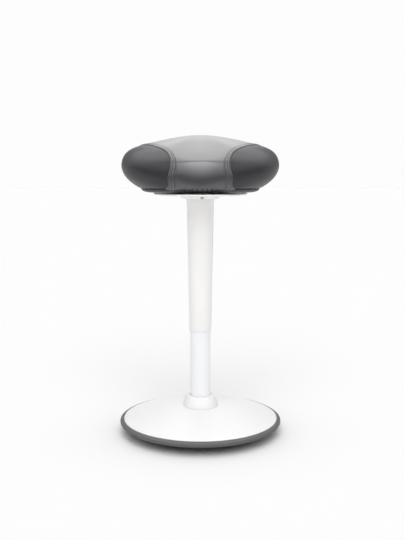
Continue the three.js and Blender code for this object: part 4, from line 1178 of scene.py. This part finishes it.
class STOOL_OT_inner(bpy.types.Operator):
    """Foam inside the skin, and a finish for every piece that keeps its CAD solid"""
    bl_idname = "stool.inner"
    bl_label = "Inner pieces"

    def execute(self, context):
        form = context.scene.stool_cushion
        inset = 4.3 * MM
        points, _ = form_points(FOAM_SIDES, inset, form, FOAM_ROWS)
        points[:, :, 2] = np.maximum(points[:, :, 2] + BOARD, foot("seat_foam"))
        flat = np.vstack([points.reshape(-1, 3), [0, 0, BOARD + form.crown_height - inset]])
        quads, fan, base = net_faces(*points.shape[:2])
        foam = grid_mesh("foam", flat, quads.tolist() + fan + base)
        outward(foam)
        smooth(foam)
        dress(foam, "foam", SEAT_BODY, "seat_foam")
        for part in frame["record"]["subparts"]:
            node = frame["nodes"].get(part["node"])
            if node and not node.hide_render:
                node.data.materials.clear()
                node.data.materials.append(finish_for(part["material_slot"]))
        return {"FINISHED"}


# The studio's strengths: the wall that the camera sees, the diffuse light, and what glossy rays see
WALL = 0.98
FILL, OVERHEAD, KEY = 0.49, 1.2, 3.2
ROOM, BANK, FRONT = 1.0, 2.6, 0.55
FLOOR_SIZE = 40  # metres

# The camera, as fitted to the round edges in the photograph: its pitch is in degrees, its lens and sensor in mm
EYE = (4 * MM, -1994 * MM, 665.6 * MM)
PITCH, LENS, SENSOR = 7.41, 54.67, 36


class STOOL_OT_stage(bpy.types.Operator):
    """Pale floor, soft studio light and the camera"""
    bl_idname = "stool.stage"
    bl_label = "Stage"

    def execute(self, context):
        scene = context.scene
        scene.view_settings.view_transform = "Standard"
        deselect()
        bpy.ops.mesh.primitive_plane_add(size=FLOOR_SIZE, location=(0, 0, 0))
        floor = context.object
        floor.name = floor.data.name = "floor"
        floor.data.materials.append(self.paper(scene.stool_colours.floor))
        self.sky(scene)
        camera = bpy.data.cameras.new("camera")
        camera.lens, camera.sensor_width = LENS, SENSOR
        eye = bpy.data.objects.new("camera", camera)
        eye.location = EYE
        eye.rotation_euler = (math.radians(90 - PITCH), 0, 0)
        scene.collection.objects.link(eye)
        scene.camera = eye
        return {"FINISHED"}

    def paper(self, pale):
        """White paper, of which glossy rays see a zone in front of the stool as darker, as under a flag."""
        paper = Finish("floor_paper")
        place = paper.place()
        before = paper.parts(place)[1] * -1
        flag = paper.ray("Is Glossy Ray") * before.ramp(0.4, 0.75) * (1 - before.ramp(1.7, 2.6))
        sheet = paper.mix(paper.noise(place, 400 * MM), tinted(pale, 0.995), tinted(pale, 1.005))
        return paper.surface(Base_Color=paper.mix(flag, sheet, tinted(pale, 0.3)), Roughness=0.95,
                             Specular_IOR_Level=0.0)

    def sky(self, scene):
        """A pale wall to the camera, a soft box overhead with a fill from the front, and their banks for gloss."""
        scene.world = scene.world or bpy.data.worlds.new("studio")
        sky = Finish("studio", scene.world)
        across, ahead, up = sky.parts(sky.node("ShaderNodeTexCoord", output=0))
        gloss, seen = sky.ray("Is Glossy Ray"), sky.ray("Is Camera Ray") + sky.ray("Is Transmission Ray")
        before = ahead * -1
        key = ((up + before) * math.sqrt(0.5)).ramp(0.88, 0.97)
        soft = FILL + OVERHEAD * up.ramp(0.86, 0.97) + KEY * key
        aside = across.join("ABSOLUTE", across)
        behind = (aside + ahead).ramp(0.75, 1.05)
        flags = aside.ramp(0.12, 0.3) * ahead.ramp(0.3, 0.7) * (1 - up.ramp(0.75, 0.92))
        banks = up.ramp(0.1, 0.75) * (1 - behind * 0.75) * (1 - ahead.ramp(0.1, 0.8) * 0.5) * BANK
        room = (banks + before.clipped() * FRONT + ROOM) * (1 - flags * 0.5)
        strength = seen * WALL + gloss * room + (1 - seen - gloss) * soft
        shine = sky.node("ShaderNodeBackground", None, {"Color": (1, 1, 1, 1), "Strength": strength})
        sky.node("ShaderNodeOutputWorld", None, {"Surface": shine})


STEPS = (STOOL_OT_sole, STOOL_OT_cover, STOOL_OT_rim, STOOL_OT_collar, STOOL_OT_column, STOOL_OT_boss,
         STOOL_OT_ring, STOOL_OT_pan, STOOL_OT_cushion, STOOL_OT_seams, STOOL_OT_inner, STOOL_OT_stage)


class STOOL_PT_panel(bpy.types.Panel):
    """Buttons for each group of pieces, with their sizes and colours"""
    bl_label = "Perch stool"
    bl_idname = "STOOL_PT_panel"
    bl_space_type = "VIEW_3D"
    bl_region_type = "UI"
    bl_category = "Stool"

    def draw(self, context):
        for settings in (context.scene.stool_sizes, context.scene.stool_cushion, context.scene.stool_colours):
            box = self.layout.box()
            for name in settings.__annotations__:
                box.prop(settings, name)
        for step in STEPS:
            self.layout.operator(step.bl_idname)


CLASSES = (StoolSizes, CushionSizes, StoolColours, *STEPS, STOOL_PT_panel)


def register():
    for cls in CLASSES:
        bpy.utils.register_class(cls)
    bpy.types.Scene.stool_sizes = bpy.props.PointerProperty(type=StoolSizes)
    bpy.types.Scene.stool_cushion = bpy.props.PointerProperty(type=CushionSizes)
    bpy.types.Scene.stool_colours = bpy.props.PointerProperty(type=StoolColours)


def unregister():
    del bpy.types.Scene.stool_sizes, bpy.types.Scene.stool_cushion, bpy.types.Scene.stool_colours
    for cls in reversed(CLASSES):
        bpy.utils.unregister_class(cls)


def main():
    """Runs every step in order."""
    register()
    for step in STEPS:
        group, action = step.bl_idname.split(".")
        getattr(getattr(bpy.ops, group), action)()
    deselect()


if __name__ == "__main__":
    main()
